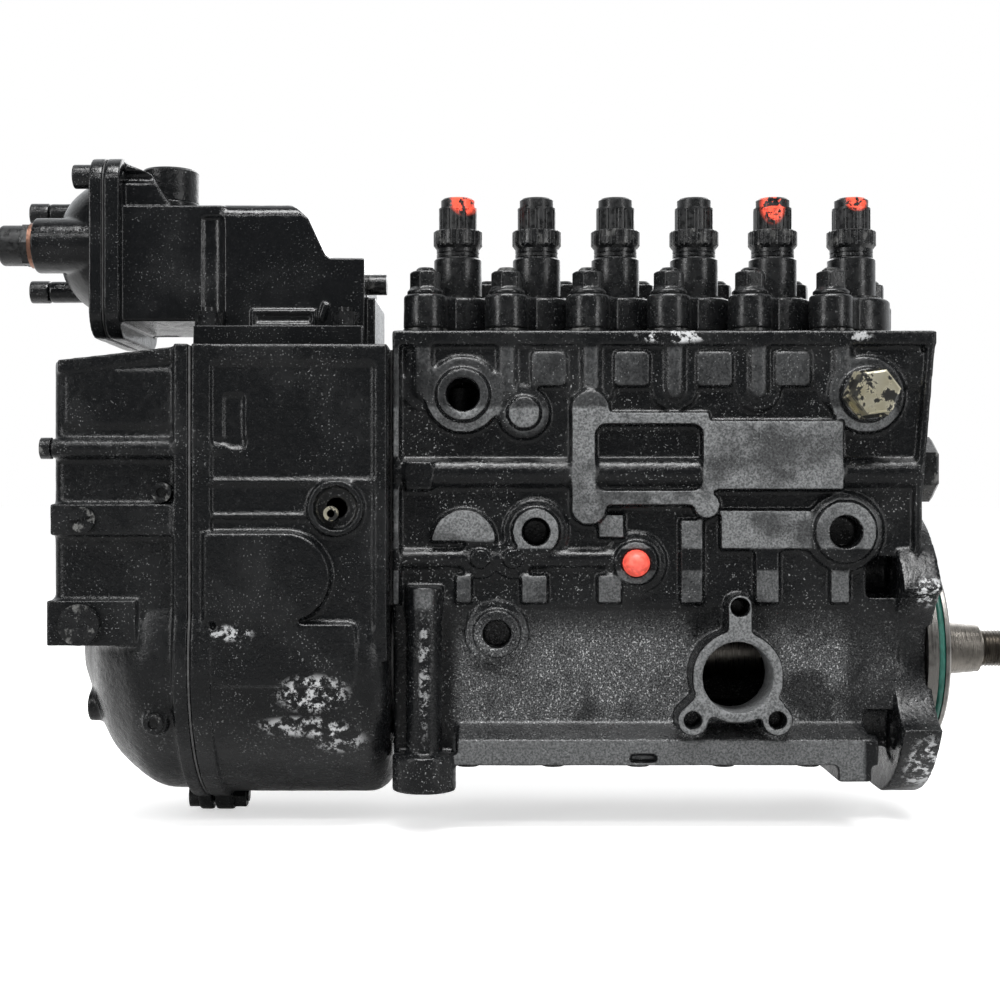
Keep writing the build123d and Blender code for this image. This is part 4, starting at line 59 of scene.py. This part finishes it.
# ================================================================ node helpers
class Shade:
    """A small wrapper round one material's node tree."""

    def __init__(self, name):
        self.mat = bpy.data.materials.new(name)
        self.mat.use_nodes = True
        self.tree = self.mat.node_tree
        self.tree.nodes.clear()
        self.out = self.node("ShaderNodeOutputMaterial")
        self.bsdf = self.node("ShaderNodeBsdfPrincipled")
        self.link(self.bsdf.outputs[0], self.out.inputs[0])
        self.place = self.node("ShaderNodeTexCoord").outputs["Object"]
        self.geo = self.node("ShaderNodeNewGeometry")
        split = self.node("ShaderNodeSeparateXYZ")
        self.link(self.place, split.inputs[0])
        self.x, self.y, self.z = split.outputs
        facing = self.node("ShaderNodeSeparateXYZ")
        self.link(self.geo.outputs["Normal"], facing.inputs[0])
        self.ny = facing.outputs[1]

    def node(self, kind, **props):
        made = self.tree.nodes.new(kind)
        for key, value in props.items():
            setattr(made, key, value)
        return made

    def link(self, a, b):
        self.tree.links.new(a, b)

    def put(self, value, socket):
        if isinstance(value, bpy.types.NodeSocket):
            self.link(value, socket)
        else:
            socket.default_value = value

    def math(self, op, a, b=0.0, c=0.0):
        made = self.node("ShaderNodeMath", operation=op)
        self.put(a, made.inputs[0])
        self.put(b, made.inputs[1])
        if op in ("SMOOTH_MIN", "SMOOTH_MAX", "MULTIPLY_ADD", "COMPARE"):
            self.put(c, made.inputs[2])
        return made.outputs[0]

    def ramp(self, value, low, high, to_low=0.0, to_high=1.0, smooth=True):
        made = self.node("ShaderNodeMapRange", interpolation_type="SMOOTHSTEP" if smooth else "LINEAR")
        self.put(value, made.inputs[0])
        self.put(low, made.inputs[1])
        self.put(high, made.inputs[2])
        self.put(to_low, made.inputs[3])
        self.put(to_high, made.inputs[4])
        return made.outputs[0]

    def noise(self, scale, detail=3.0, rough=0.55, stretch=None, distortion=0.0, shift=None):
        made = self.node("ShaderNodeTexNoise")
        made.inputs["Scale"].default_value = scale
        made.inputs["Detail"].default_value = detail
        made.inputs["Roughness"].default_value = rough
        made.inputs["Distortion"].default_value = distortion
        if stretch or shift:
            mapping = self.node("ShaderNodeMapping")
            mapping.inputs["Scale"].default_value = stretch or (1, 1, 1)
            mapping.inputs["Location"].default_value = shift or (0, 0, 0)
            self.link(self.place, mapping.inputs[0])
            self.link(mapping.outputs[0], made.inputs["Vector"])
        else:
            self.link(self.place, made.inputs["Vector"])
        return made.outputs[0]

    def colour(self, rgb):
        return (rgb[0], rgb[1], rgb[2], 1.0)

    def mix(self, fac, a, b):
        made = self.node("ShaderNodeMix", data_type="RGBA")
        self.put(fac, made.inputs[0])
        self.put(self.colour(a) if isinstance(a, tuple) else a, made.inputs[6])
        self.put(self.colour(b) if isinstance(b, tuple) else b, made.inputs[7])
        return made.outputs[2]

    def blend(self, fac, a, b):
        made = self.node("ShaderNodeMix", data_type="FLOAT")
        self.put(fac, made.inputs[0])
        self.put(a, made.inputs[2])
        self.put(b, made.inputs[3])
        return made.outputs[0]

    def within(self, value, low, high, soft):
        """1 where value lies between low and high, falling off over soft."""
        up = self.ramp(value, low - soft, low + soft)
        down = self.ramp(value, high - soft, high + soft, 1.0, 0.0)
        return self.math("MULTIPLY", up, down)

    def spot(self, x, z, rx, rz, soft=0.35):
        """1 inside an ellipse of the X-Z plane, in millimetres."""
        dx = self.math("DIVIDE", self.math("SUBTRACT", self.x, x / 1000), rx / 1000)
        dz = self.math("DIVIDE", self.math("SUBTRACT", self.z, z / 1000), rz / 1000)
        squares = self.math("ADD", self.math("MULTIPLY", dx, dx), self.math("MULTIPLY", dz, dz))
        far = self.math("SQRT", squares)
        return self.ramp(far, 1.0 - soft, 1.0 + soft, 1.0, 0.0)

    def add(self, *values):
        total = values[0]
        for value in values[1:]:
            total = self.math("ADD", total, value)
        return self.math("MINIMUM", total, 1.0)

    def times(self, *values):
        total = values[0]
        for value in values[1:]:
            total = self.math("MULTIPLY", total, value)
        return total

    def bump(self, height, strength, distance, under=None):
        made = self.node("ShaderNodeBump")
        self.put(strength, made.inputs["Strength"])
        made.inputs["Distance"].default_value = distance
        self.put(height, made.inputs["Height"])
        if under is not None:
            self.link(under, made.inputs["Normal"])
        return made.outputs[0]

    def finish(self, colour, rough, normal=None, metal=0.0, coat=0.0, coat_rough=0.1, specular=0.5):
        self.put(self.colour(colour) if isinstance(colour, tuple) else colour, self.bsdf.inputs["Base Color"])
        self.put(rough, self.bsdf.inputs["Roughness"])
        self.put(metal, self.bsdf.inputs["Metallic"])
        self.bsdf.inputs["Specular IOR Level"].default_value = specular
        self.bsdf.inputs["Coat Weight"].default_value = coat
        self.bsdf.inputs["Coat Roughness"].default_value = coat_rough
        if normal is not None:
            self.link(normal, self.bsdf.inputs["Normal"])
        return self.mat


# linear colours of the paint and of what shows through it
BLACK = (0.0035, 0.0038, 0.0042)
FILM = (0.011, 0.0115, 0.012)
# pale specks on the paint: partly paint chips and dust, partly painted glints
CHIP_AND_GLINT = (0.24, 0.245, 0.245)
# bare metal of worn edges and scuffs, also used for a painted highlight streak on the column
BARE_METAL_AND_HIGHLIGHT = (0.42, 0.425, 0.43)
RUBBED_STEEL = (0.24, 0.24, 0.23)
STONE = ((0.045, 0.047, 0.048), (0.135, 0.138, 0.140), (0.20, 0.205, 0.21))
# tones of the bare wall; the third and brightest one is for painted highlight specks
SAND_AND_GLINT = ((0.010, 0.0105, 0.011), (0.094, 0.096, 0.098), (0.36, 0.365, 0.365))
CAP = ((0.0045, 0.0048, 0.0050), (0.016, 0.0165, 0.017))
CAP_RED = (0.78, 0.085, 0.045)
ZINC = ((0.42, 0.38, 0.24), (0.60, 0.57, 0.45))
ZINC_PAINT = (0.012, 0.012, 0.011)

# roughness of the matte pads, the bare walls and the rubbed places
STONE_ROUGH = 0.52
SAND_ROUGH = 0.30
RUBBED_ROUGH = 0.5

# depth that a full step of a bump texture stands for, in metres
CAST_RELIEF = 0.0016
STEEL_RELIEF = 0.0006
FINE_RELIEF = 0.0003
RING_RELIEF = 0.0002


def cast_paint(name, mask=None, scuffs_and_highlight=(), gloss=0.20, lift=0.5, flecks_and_glints=0.45):
    """Gloss black paint over a sand casting, with white specks that are partly paint chips and partly painted
    glints. The mask gives matte grey pads and bare rough walls; the pump's mask also holds painted shade
    under the ledge and a painted sheen on the foot.
    """
    s = Shade(name)
    waves = s.noise(110, 2, 0.5)
    lumps = s.noise(420, 3, 0.55)
    grain = s.noise(1100, 3, 0.6)
    clusters = s.ramp(s.noise(60, 3, 0.6), 0.42, 0.62)
    # white specks, partly paint chips and dust and partly painted glints of the rough casting
    chip_and_glint_specks = s.ramp(s.noise(1350, 1.5, 0.45), 0.655, 0.70)
    chip_and_glint_specks = s.times(chip_and_glint_specks, s.blend(clusters, 0.10, 1.0))
    film = s.ramp(s.noise(30, 4, 0.6), 0.45, 0.72)
    colour = s.mix(s.times(film, 0.5), BLACK, FILM)
    colour = s.mix(s.times(chip_and_glint_specks, flecks_and_glints), colour, CHIP_AND_GLINT)
    rough = s.ramp(lumps, 0.3, 0.7, gloss - 0.04, gloss + 0.10)
    rough = s.blend(film, rough, gloss + 0.16)
    height = s.add(s.times(waves, 0.30), s.times(lumps, 0.28), s.times(grain, 0.16))
    strength = lift
    if mask is not None:
        pads, walls = mask(s)
        pits = s.ramp(grain, 0.36, 0.64)
        stone = s.mix(pits, STONE[0], STONE[1])
        stone = s.mix(s.ramp(lumps, 0.55, 0.70, 0.0, 0.45), stone, STONE[2])
        # the pad mask includes the foot, whose grey is a painted sheen
        colour = s.mix(pads, colour, stone)
        rough = s.blend(pads, rough, STONE_ROUGH)
        sand = s.mix(s.ramp(s.noise(1500, 2, 0.6), 0.40, 0.62), SAND_AND_GLINT[0], SAND_AND_GLINT[1])
        # bright specks on the bare wall are painted highlights
        sand = s.mix(s.ramp(s.noise(1250, 2, 0.5), 0.60, 0.66, 0.0, 0.8), sand, SAND_AND_GLINT[2])
        # black left under the ledge by the wall mask is painted shade
        colour = s.mix(walls, colour, sand)
        rough = s.blend(walls, rough, SAND_ROUGH)
        strength = s.blend(walls, lift, 1.0)
    worn_and_highlight = None
    # scuff spots; the column's spot is a painted highlight streak
    for x, z, rx, rz, amount in scuffs_and_highlight:
        ring = s.times(s.spot(x, z, rx, rz), amount)
        worn_and_highlight = ring if worn_and_highlight is None else s.add(worn_and_highlight, ring)
    edges = s.ramp(s.geo.outputs["Pointiness"], 0.56, 0.64)
    scratch = s.ramp(s.noise(230, 6, 0.75), 0.50, 0.57)
    rub = s.times(edges, s.ramp(s.noise(60, 3, 0.6), 0.52, 0.70), 0.5)
    if worn_and_highlight is not None:
        rub = s.add(rub, s.times(worn_and_highlight, scratch))
    colour = s.mix(rub, colour, BARE_METAL_AND_HIGHLIGHT)
    rough = s.blend(rub, rough, RUBBED_ROUGH)
    return s.finish(colour, rough, s.bump(height, strength, CAST_RELIEF), specular=0.36)


# places on the pump casting, in metres: faces along Y, levels along Z, ends along X
PAD_FACE = (-0.0443, -0.0450)
RING_FACE = (-0.0515, -0.0525)
WALL_FACE = (-0.0515, -0.0505)
LEDGE = (0.0195, 0.0225)
RIBS_BOTTOM = (0.1055, 0.1035)
PADS_TOP = (0.1302, 0.1285)
FLANGE_SIDE = (-0.0150, -0.0200)
TUBE_LEVELS = (0.0703, 0.0840)
PLATE_ENDS = (-0.1525, -0.0390)
WINDOW_ENDS = (-0.1422, -0.0975)
BULGE_LEVELS = (0.0365, 0.0458)
LOWER_PADS = (0.0365, 0.0375)
FEED_PAD_ENDS = (-0.1120, -0.0550)
FEED_PAD_TOP = (0.0300, 0.0290)
FEED_BORE = (-83.0, -7.1, 16.2, 16.2)  # centre and radii in millimetres
FEED_BORE_DEPTHS = (-0.0550, 0.0200)
FOOT_ENDS = (-0.2015, -0.0310)
FOOT_TOP = (-0.0325, -0.0345)
COLUMN_SIDE = (-0.2035, -0.1965)
POCKET_SIDE = (-0.0400, -0.0330)
# levels just under the ledge where the wall darkens as painted shade of the overhang
LEDGE_SHADE_LEVELS = (0.0190, 0.0050)
WALL_TOP = (0.0205, 0.0190)


def pump_masks(s):
    """Matte pads of the upper wall, and the bare rough lower wall, with a painted sheen on the foot and
    painted shade under the ledge.
    """
    front = s.ramp(s.ny, -0.80, -0.95)
    pads = s.times(front, s.ramp(s.y, *PAD_FACE), s.ramp(s.z, *LEDGE))
    pads = s.times(pads, s.ramp(s.z, *PADS_TOP), s.blend(s.ramp(s.z, *RIBS_BOTTOM), 0.25, 1.0))
    pads = s.times(pads, s.ramp(s.noise(48, 3, 0.6), 0.34, 0.56, 0.35, 1.0))

    # the rack tube beside the plate and in its window, and the bulge below, stay gloss black
    beside = s.math("SUBTRACT", 1.0, s.within(s.x, *PLATE_ENDS, 0.0008))
    bare_ends = s.add(beside, s.within(s.x, *WINDOW_ENDS, 0.0005))
    tube = s.times(s.within(s.z, *TUBE_LEVELS, 0.0005), bare_ends)
    glossy = s.add(tube, s.within(s.z, *BULGE_LEVELS, 0.0006))
    pads = s.times(pads, s.math("SUBTRACT", 1.0, glossy), s.ramp(s.x, *FLANGE_SIDE))
    pads = s.times(pads, s.ramp(s.z, *LOWER_PADS, 0.55, 1.0))

    ring = s.times(front, s.ramp(s.y, *RING_FACE), s.within(s.x, *FEED_PAD_ENDS, 0.0010))
    ring = s.times(ring, s.ramp(s.z, *FEED_PAD_TOP))
    # the foot's front face turns grey: a painted sheen standing for the reflection on its satin black paint
    foot_sheen = s.times(front, s.ramp(s.z, *FOOT_TOP), s.within(s.x, *FOOT_ENDS, 0.0010), 0.7)
    bore = s.times(s.spot(*FEED_BORE, 0.02), s.within(s.y, *FEED_BORE_DEPTHS, 0.0012))
    pads = s.add(pads, ring, foot_sheen, bore)

    walls = s.times(s.ramp(s.ny, -0.30, -0.70), s.ramp(s.y, *WALL_FACE), s.ramp(s.z, *reversed(FOOT_TOP)))
    blotch = s.ramp(s.noise(34, 3, 0.6), 0.34, 0.54, 0.20, 1.0)
    # just under the ledge the wall mask falls to 0.12 and leaves black there: painted shade of the overhang
    walls = s.times(walls, blotch, s.ramp(s.x, *COLUMN_SIDE), s.ramp(s.z, *LEDGE_SHADE_LEVELS, 0.12, 1.0))
    walls = s.times(walls, s.ramp(s.z, *WALL_TOP), s.ramp(s.x, *POCKET_SIDE, 1.0, 0.25))
    return pads, walls


# rubbed places, and one painted highlight streak on the column: centre and radii in the X-Z plane in
# millimetres, and how far the paint is gone
PUMP_SCUFFS_AND_HIGHLIGHT = (
    (-110.0, 134.0, 14.0, 2.6, 0.9),
    (-32.0, 134.5, 5.0, 2.2, 0.7),
    (-5.0, 28.0, 6.0, 6.0, 1.0),
    (-5.0, -45.0, 7.0, 12.0, 0.9),
    # tall narrow stripe on the column: a painted highlight streak in bare metal
    (-213.0, -4.0, 2.2, 26.0, 0.45),
)
GOVERNOR_SCUFFS = (
    (-258.0, -13.0, 13.0, 7.0, 0.9),
    (-262.0, -27.0, 18.0, 4.0, 0.7),
    (-248.0, -33.0, 10.0, 5.0, 0.6),
    (-293.0, 12.0, 10.0, 3.0, 0.7),
)

paint_pump = cast_paint("pump_paint_cast", pump_masks, PUMP_SCUFFS_AND_HIGHLIGHT, flecks_and_glints=0.7)
paint_governor = cast_paint("governor_paint_cast", None, GOVERNOR_SCUFFS)
paint_cover = cast_paint("cover_paint_cast")
paint_boost = cast_paint("boost_paint_cast", lift=0.3, gloss=0.13, flecks_and_glints=0.25)


def steel_paint(name, gloss=0.22, chips=0.35):
    """Black paint over machined steel fasteners and fittings, edges slightly broken."""
    s = Shade(name)
    soft = s.noise(300, 3, 0.6)
    # white specks, partly paint chips and partly painted glints
    chip_and_glint_specks = s.ramp(s.noise(1700, 2, 0.5), 0.655, 0.70)
    edges = s.ramp(s.geo.outputs["Pointiness"], 0.53, 0.62)
    rub = s.times(edges, s.ramp(s.noise(210, 3, 0.6), 0.52, 0.64), chips)
    colour = s.mix(s.times(chip_and_glint_specks, 0.5), BLACK, CHIP_AND_GLINT)
    colour = s.mix(rub, colour, RUBBED_STEEL)
    rough = s.ramp(soft, 0.3, 0.7, gloss, gloss + 0.14)
    height = s.add(s.times(soft, 0.6), s.times(s.noise(1400, 2, 0.5), 0.3))
    return s.finish(colour, rough, s.bump(height, 0.3, STEEL_RELIEF))


def turned(name, tint, rough_low=0.24, rough_high=0.42, dirt=(0.06, 0.055, 0.05)):
    """Turned or ground steel with fine rings along the shaft axis."""
    s = Shade(name)
    rings = s.noise(60, 2, 0.5, stretch=(60.0, 0.4, 0.4))
    stain = s.ramp(s.noise(170, 4, 0.6), 0.45, 0.7)
    colour = s.mix(s.times(stain, 0.5), tint, dirt)
    rough = s.ramp(rings, 0.35, 0.65, rough_low, rough_high)
    return s.finish(colour, rough, s.bump(rings, 0.25, RING_RELIEF), metal=1.0)


def plastic(name, tint, rough=0.42):
    """Moulded plastic, slightly mottled."""
    s = Shade(name)
    cloud = s.noise(420, 3, 0.6)
    colour = s.mix(s.ramp(cloud, 0.35, 0.7), tint, tuple(min(1.0, 1.6 * c + 0.004) for c in tint))
    gloss = s.ramp(cloud, 0.3, 0.7, rough - 0.08, rough + 0.12)
    return s.finish(colour, gloss, s.bump(cloud, 0.15, FINE_RELIEF))


# red chips on three caps: centre and radii in the X-Z plane, in millimetres
CAP_CHIPS = ((-197.5, 197.5, 6.0, 5.5), (-61.5, 196.0, 5.0, 7.5), (-24.5, 197.6, 4.6, 4.0))


def cap_plastic():
    """Black transport caps; three keep chips of red paint on their crowns."""
    s = Shade("cap_plastic_chipped")
    cloud = s.noise(420, 3, 0.6)
    edge = s.noise(240, 4, 0.65)
    red = None
    for place in CAP_CHIPS:
        hit = s.spot(*place, 0.25)
        red = hit if red is None else s.add(red, hit)
    red = s.times(red, s.ramp(edge, 0.44, 0.50), s.ramp(s.y, 0.002, -0.001))
    colour = s.mix(s.ramp(cloud, 0.35, 0.7), CAP[0], CAP[1])
    colour = s.mix(red, colour, CAP_RED)
    rough = s.ramp(cloud, 0.3, 0.7, 0.24, 0.42)
    return s.finish(colour, rough, s.bump(cloud, 0.2, FINE_RELIEF), specular=0.4)


def yellow_zinc():
    """Yellow passivated steel with remnants of black paint."""
    s = Shade("yellow_zinc_painted")
    stain = s.ramp(s.noise(150, 4, 0.65), 0.47, 0.53)
    tone = s.noise(60, 3, 0.5)
    colour = s.mix(s.ramp(tone, 0.3, 0.7), ZINC[0], ZINC[1])
    colour = s.mix(stain, colour, ZINC_PAINT)
    metal = s.blend(stain, 0.85, 0.0)
    rough = s.blend(stain, 0.34, 0.3)
    return s.finish(colour, rough, s.bump(s.noise(600, 3, 0.6), 0.2, FINE_RELIEF), metal=metal)


looks = {
    "black_steel": steel_paint("black_steel_paint"),
    "bare_steel": turned("bare_turned_steel", (0.27, 0.26, 0.245)),
    "shaft_steel": turned("shaft_ground_steel", (0.20, 0.185, 0.165)),
    "hard_steel": turned("hardened_steel", (0.45, 0.44, 0.43)),
    "spring_steel": turned("spring_wire", (0.34, 0.33, 0.32)),
    "green_rubber": plastic("green_o_ring", (0.006, 0.062, 0.046), 0.40),
    "dark_rubber": plastic("dark_seal_rubber", (0.012, 0.012, 0.012), 0.5),
    "cap_plastic": cap_plastic(),
    "red_plastic": plastic("red_port_plastic", (0.62, 0.075, 0.05), 0.42),
    "yellow_zinc": yellow_zinc(),
    "gasket": plastic("gasket_board", (0.03, 0.03, 0.03), 0.7),
    "copper": turned("copper_washer", (0.26, 0.14, 0.10), 0.3, 0.45, (0.03, 0.02, 0.015)),
    "pump_paint": paint_pump,
    "governor_paint": paint_governor,
}
slot_of = {part["node"]: part["material_slot"] for part in frame["record"]["subparts"]}
for node, obj in nodes.items():
    obj.data.materials.clear()
    obj.data.materials.append(looks[slot_of[node]])
    for face in obj.data.polygons:
        face.material_index = 0


# ================================================================ castings
# depth of the sand-cast unevenness, in metres
SWELL = 0.00022


def cast(node, material, voxel, turns, limit, hidden, swell):
    """A casting with rounded edges and fillets, made from the node's own surface."""
    piece = bpy.data.objects.new(node + "_cast", nodes[node].data.copy())
    bpy.context.collection.objects.link(piece)
    steps = piece.modifiers.new("voxels", "REMESH")
    steps.mode = "VOXEL"
    steps.voxel_size = voxel
    steps.use_smooth_shade = True
    relax = piece.modifiers.new("relax", "SMOOTH")
    relax.factor = 0.5
    relax.iterations = turns
    bake(piece)
    if hidden:
        drop(piece, hidden)
    if swell:
        uneven(piece.data, swell)
    triangles = sum(len(f.vertices) - 2 for f in piece.data.polygons)
    if triangles > limit:
        fewer = piece.modifiers.new("fewer", "DECIMATE")
        fewer.ratio = limit / triangles
        bake(piece)
    piece.data.shade_smooth()
    piece.data.materials.clear()
    piece.data.materials.append(material)
    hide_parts(node)
    return piece


# wavelengths of the unevenness in metres, with each one's share, and how many directions each takes
WAVES = ((0.030, 0.4), (0.013, 0.35), (0.006, 0.25))
WAVES_EACH = 6


def uneven(mesh, depth):
    """Sand-cast unevenness: every point moves inwards by up to the depth."""
    count = len(mesh.vertices)
    points = numpy.empty(count * 3)
    mesh.vertices.foreach_get("co", points)
    points = points.reshape(count, 3)
    normals = numpy.empty(count * 3)
    mesh.vertices.foreach_get("normal", normals)
    normals = normals.reshape(count, 3)
    wave = numpy.zeros(count)
    rng = numpy.random.default_rng(7)
    for size, share in WAVES:
        for _ in range(WAVES_EACH):
            way = rng.normal(size=3)
            way /= numpy.linalg.norm(way)
            phase = points @ way * (2 * math.pi / size) + rng.uniform(0, 6.28)
            wave += share / WAVES_EACH * numpy.sin(phase)
    points -= normals * (depth * numpy.clip(0.5 + wave, 0.0, 1.0))[:, None]
    mesh.vertices.foreach_set("co", points.ravel())
    mesh.update()


def bake(piece):
    """Applies the modifiers to the piece's own mesh."""
    graph = bpy.context.evaluated_depsgraph_get()
    made = bpy.data.meshes.new_from_object(piece.evaluated_get(graph))
    piece.modifiers.clear()
    piece.data = made


def drop(piece, hidden):
    """Removes the walls of closed inner chambers that nothing can see."""
    cage = bmesh.new()
    cage.from_mesh(piece.data)
    gone = [v for v in cage.verts if hidden(v.co.x * 1000, v.co.y * 1000, v.co.z * 1000)]
    bmesh.ops.delete(cage, geom=gone, context="VERTS")
    cage.to_mesh(piece.data)
    cage.free()


# boxes in millimetres: the closed chambers, and the two places an open bore looks into
CHAMBERS = ((-222.0, -40.0), (-29.5, 33.5), (-37.5, 132.5))
BY_FEED_BORE = ((-110.0, -58.0), (-29.5, 20.0), (-37.5, 22.0))
BY_GALLERY = ((-222.0, -40.0), (-29.5, -12.0), (102.0, 132.5))


def inside_pump(*point):
    """Cam chamber, spring chamber and element bores, apart from what an open bore shows."""
    def held(box):
        return all(low < value < high for value, (low, high) in zip(point, box))
    return held(CHAMBERS) and not held(BY_FEED_BORE) and not held(BY_GALLERY)


# node, material, voxel size in metres, smoothing turns, triangle limit, hidden chambers, unevenness
CASTINGS = (
    ("pump_housing", paint_pump, 0.0008, 6, 195000, inside_pump, SWELL),
    ("governor_housing", paint_governor, 0.0008, 7, 150000, None, SWELL),
    ("governor_cover", paint_cover, 0.0008, 8, 120000, None, SWELL),
    ("boost_housing", paint_boost, 0.0006, 8, 120000, None, SWELL),
    ("boost_cover", paint_boost, 0.0006, 6, 60000, None, SWELL),
    ("flange_sleeves", looks["black_steel"], 0.0006, 4, 120000, None, SWELL),
    ("flange_nuts", looks["black_steel"], 0.00045, 2, 60000, None, 0.0),
    ("boost_cover_screws", looks["black_steel"], 0.00045, 2, 40000, None, 0.0),
)
castings = [cast(*row) for row in CASTINGS]
for piece in castings:
    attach(piece, "body")

# ================================================================ stage
FLOOR_SIZE = 40.0
FLOOR_MIDDLE = 6.0
FLOOR_GAP = 0.0005
FLOOR_GLOW = 0.52
FLOOR_WHITE = (0.90, 0.90, 0.90)
FLOOR_DIM = (0.22, 0.22, 0.22)
DIM_FROM = (0.05, -0.12)  # along Y

bpy.ops.mesh.primitive_plane_add(size=FLOOR_SIZE, location=(0, FLOOR_MIDDLE, cad_box[0][2] - FLOOR_GAP))
floor = bpy.context.object
floor.name = "floor"
pale = Shade("pale_floor")
ray = pale.node("ShaderNodeLightPath")
# gloss paint sees a dim floor in front of the object, as it sees a dim room
spread = pale.node("ShaderNodeSeparateXYZ")
pale.link(pale.geo.outputs["Position"], spread.inputs[0])
dim = pale.times(ray.outputs["Is Glossy Ray"], pale.ramp(spread.outputs[1], *DIM_FROM))
floor_rough = pale.ramp(pale.noise(4, 2), 0.3, 0.7, 0.80, 0.88)
pale.finish(pale.mix(dim, FLOOR_WHITE, FLOOR_DIM), floor_rough, specular=0.1)
pale.bsdf.inputs["Emission Color"].default_value = (1, 1, 1, 1)
glow = pale.math("MULTIPLY", ray.outputs["Is Camera Ray"], FLOOR_GLOW)
pale.link(glow, pale.bsdf.inputs["Emission Strength"])
floor.data.materials.append(pale.mat)

world = bpy.data.worlds.new("studio")
bpy.context.scene.world = world
world.use_nodes = True
tree = world.node_tree
tree.nodes.clear()

# strength and colour of what the camera sees, of the light itself and of what gloss and glass reflect
BACKDROP = (1.0, (1, 1, 1, 1))
SOFT_LIGHT = (0.55, (1, 1, 1, 1))
MIRROR_TINT = (0.96, 0.98, 1.0, 1)
# direction along Y where the reflected room begins and ends to brighten, and its strength there
ROOM = (-0.10, 0.45, 0.10, 1.0)


def background(strength, tint):
    """A world background of one colour."""
    made = tree.nodes.new("ShaderNodeBackground")
    made.inputs[0].default_value = tint
    made.inputs[1].default_value = strength
    return made


seen = background(*BACKDROP)
light = background(*SOFT_LIGHT)
mirror = background(1.0, MIRROR_TINT)
way = tree.nodes.new("ShaderNodeTexCoord")
parts = tree.nodes.new("ShaderNodeSeparateXYZ")
tree.links.new(way.outputs["Generated"], parts.inputs[0])
# the room in front of the backdrop is dim, so gloss paint stays black
room = tree.nodes.new("ShaderNodeMapRange")
room.interpolation_type = "SMOOTHSTEP"
tree.links.new(parts.outputs[1], room.inputs[0])
for socket, value in zip(list(room.inputs)[1:5], ROOM):
    socket.default_value = value
tree.links.new(room.outputs[0], mirror.inputs[1])

path = tree.nodes.new("ShaderNodeLightPath")
shiny = tree.nodes.new("ShaderNodeMath")
shiny.operation = "MAXIMUM"
lit = tree.nodes.new("ShaderNodeMixShader")
both = tree.nodes.new("ShaderNodeMixShader")
out = tree.nodes.new("ShaderNodeOutputWorld")
for source, socket in (
    (path.outputs["Is Glossy Ray"], shiny.inputs[0]),
    (path.outputs["Is Transmission Ray"], shiny.inputs[1]),
    (shiny.outputs[0], lit.inputs[0]),
    (light.outputs[0], lit.inputs[1]),
    (mirror.outputs[0], lit.inputs[2]),
    (path.outputs["Is Camera Ray"], both.inputs[0]),
    (lit.outputs[0], both.inputs[1]),
    (seen.outputs[0], both.inputs[2]),
    (both.outputs[0], out.inputs[0]),
):
    tree.links.new(source, socket)


def area(name, place, width, height, power):
    """A soft area light aimed at the middle of the object."""
    data = bpy.data.lights.new(name, "AREA")
    data.energy = power
    data.shape = "RECTANGLE"
    data.size = width
    data.size_y = height
    lamp = bpy.data.objects.new(name, data)
    lamp.location = place
    lamp.rotation_euler = (MIDDLE - Vector(place)).to_track_quat("-Z", "Y").to_euler()
    bpy.context.collection.objects.link(lamp)


MIDDLE = Vector((-0.18, 0.0, 0.06))
# name, place, width and height in metres, power in watts
LAMPS = (
    ("top_soft", (-0.15, -0.45, 1.15), 0.9, 0.35, 20.0),
    ("top_strip", (-0.20, -0.75, 0.75), 1.0, 0.04, 2.5),
    ("front_left", (-1.15, -0.85, 0.50), 0.25, 0.9, 5.0),
    ("front_right", (0.85, -0.9, 0.35), 0.2, 0.9, 3.5),
    ("back_fill", (0.1, 1.2, 0.8), 1.0, 1.0, 8.0),
)
for lamp in LAMPS:
    area(*lamp)

# ================================================================ camera
CAMERA_PLACE = (-0.1819, -0.700, 0.0659)
FOCAL_LENGTH = 56.6
SENSOR_WIDTH = 36.0

lens = bpy.data.cameras.new("camera")
lens.lens = FOCAL_LENGTH
lens.sensor_width = SENSOR_WIDTH
camera = bpy.data.objects.new("camera", lens)
camera.location = CAMERA_PLACE
camera.rotation_euler = (math.radians(90), 0, 0)
bpy.context.collection.objects.link(camera)
bpy.context.scene.camera = camera
bpy.context.scene.view_settings.view_transform = "Standard"
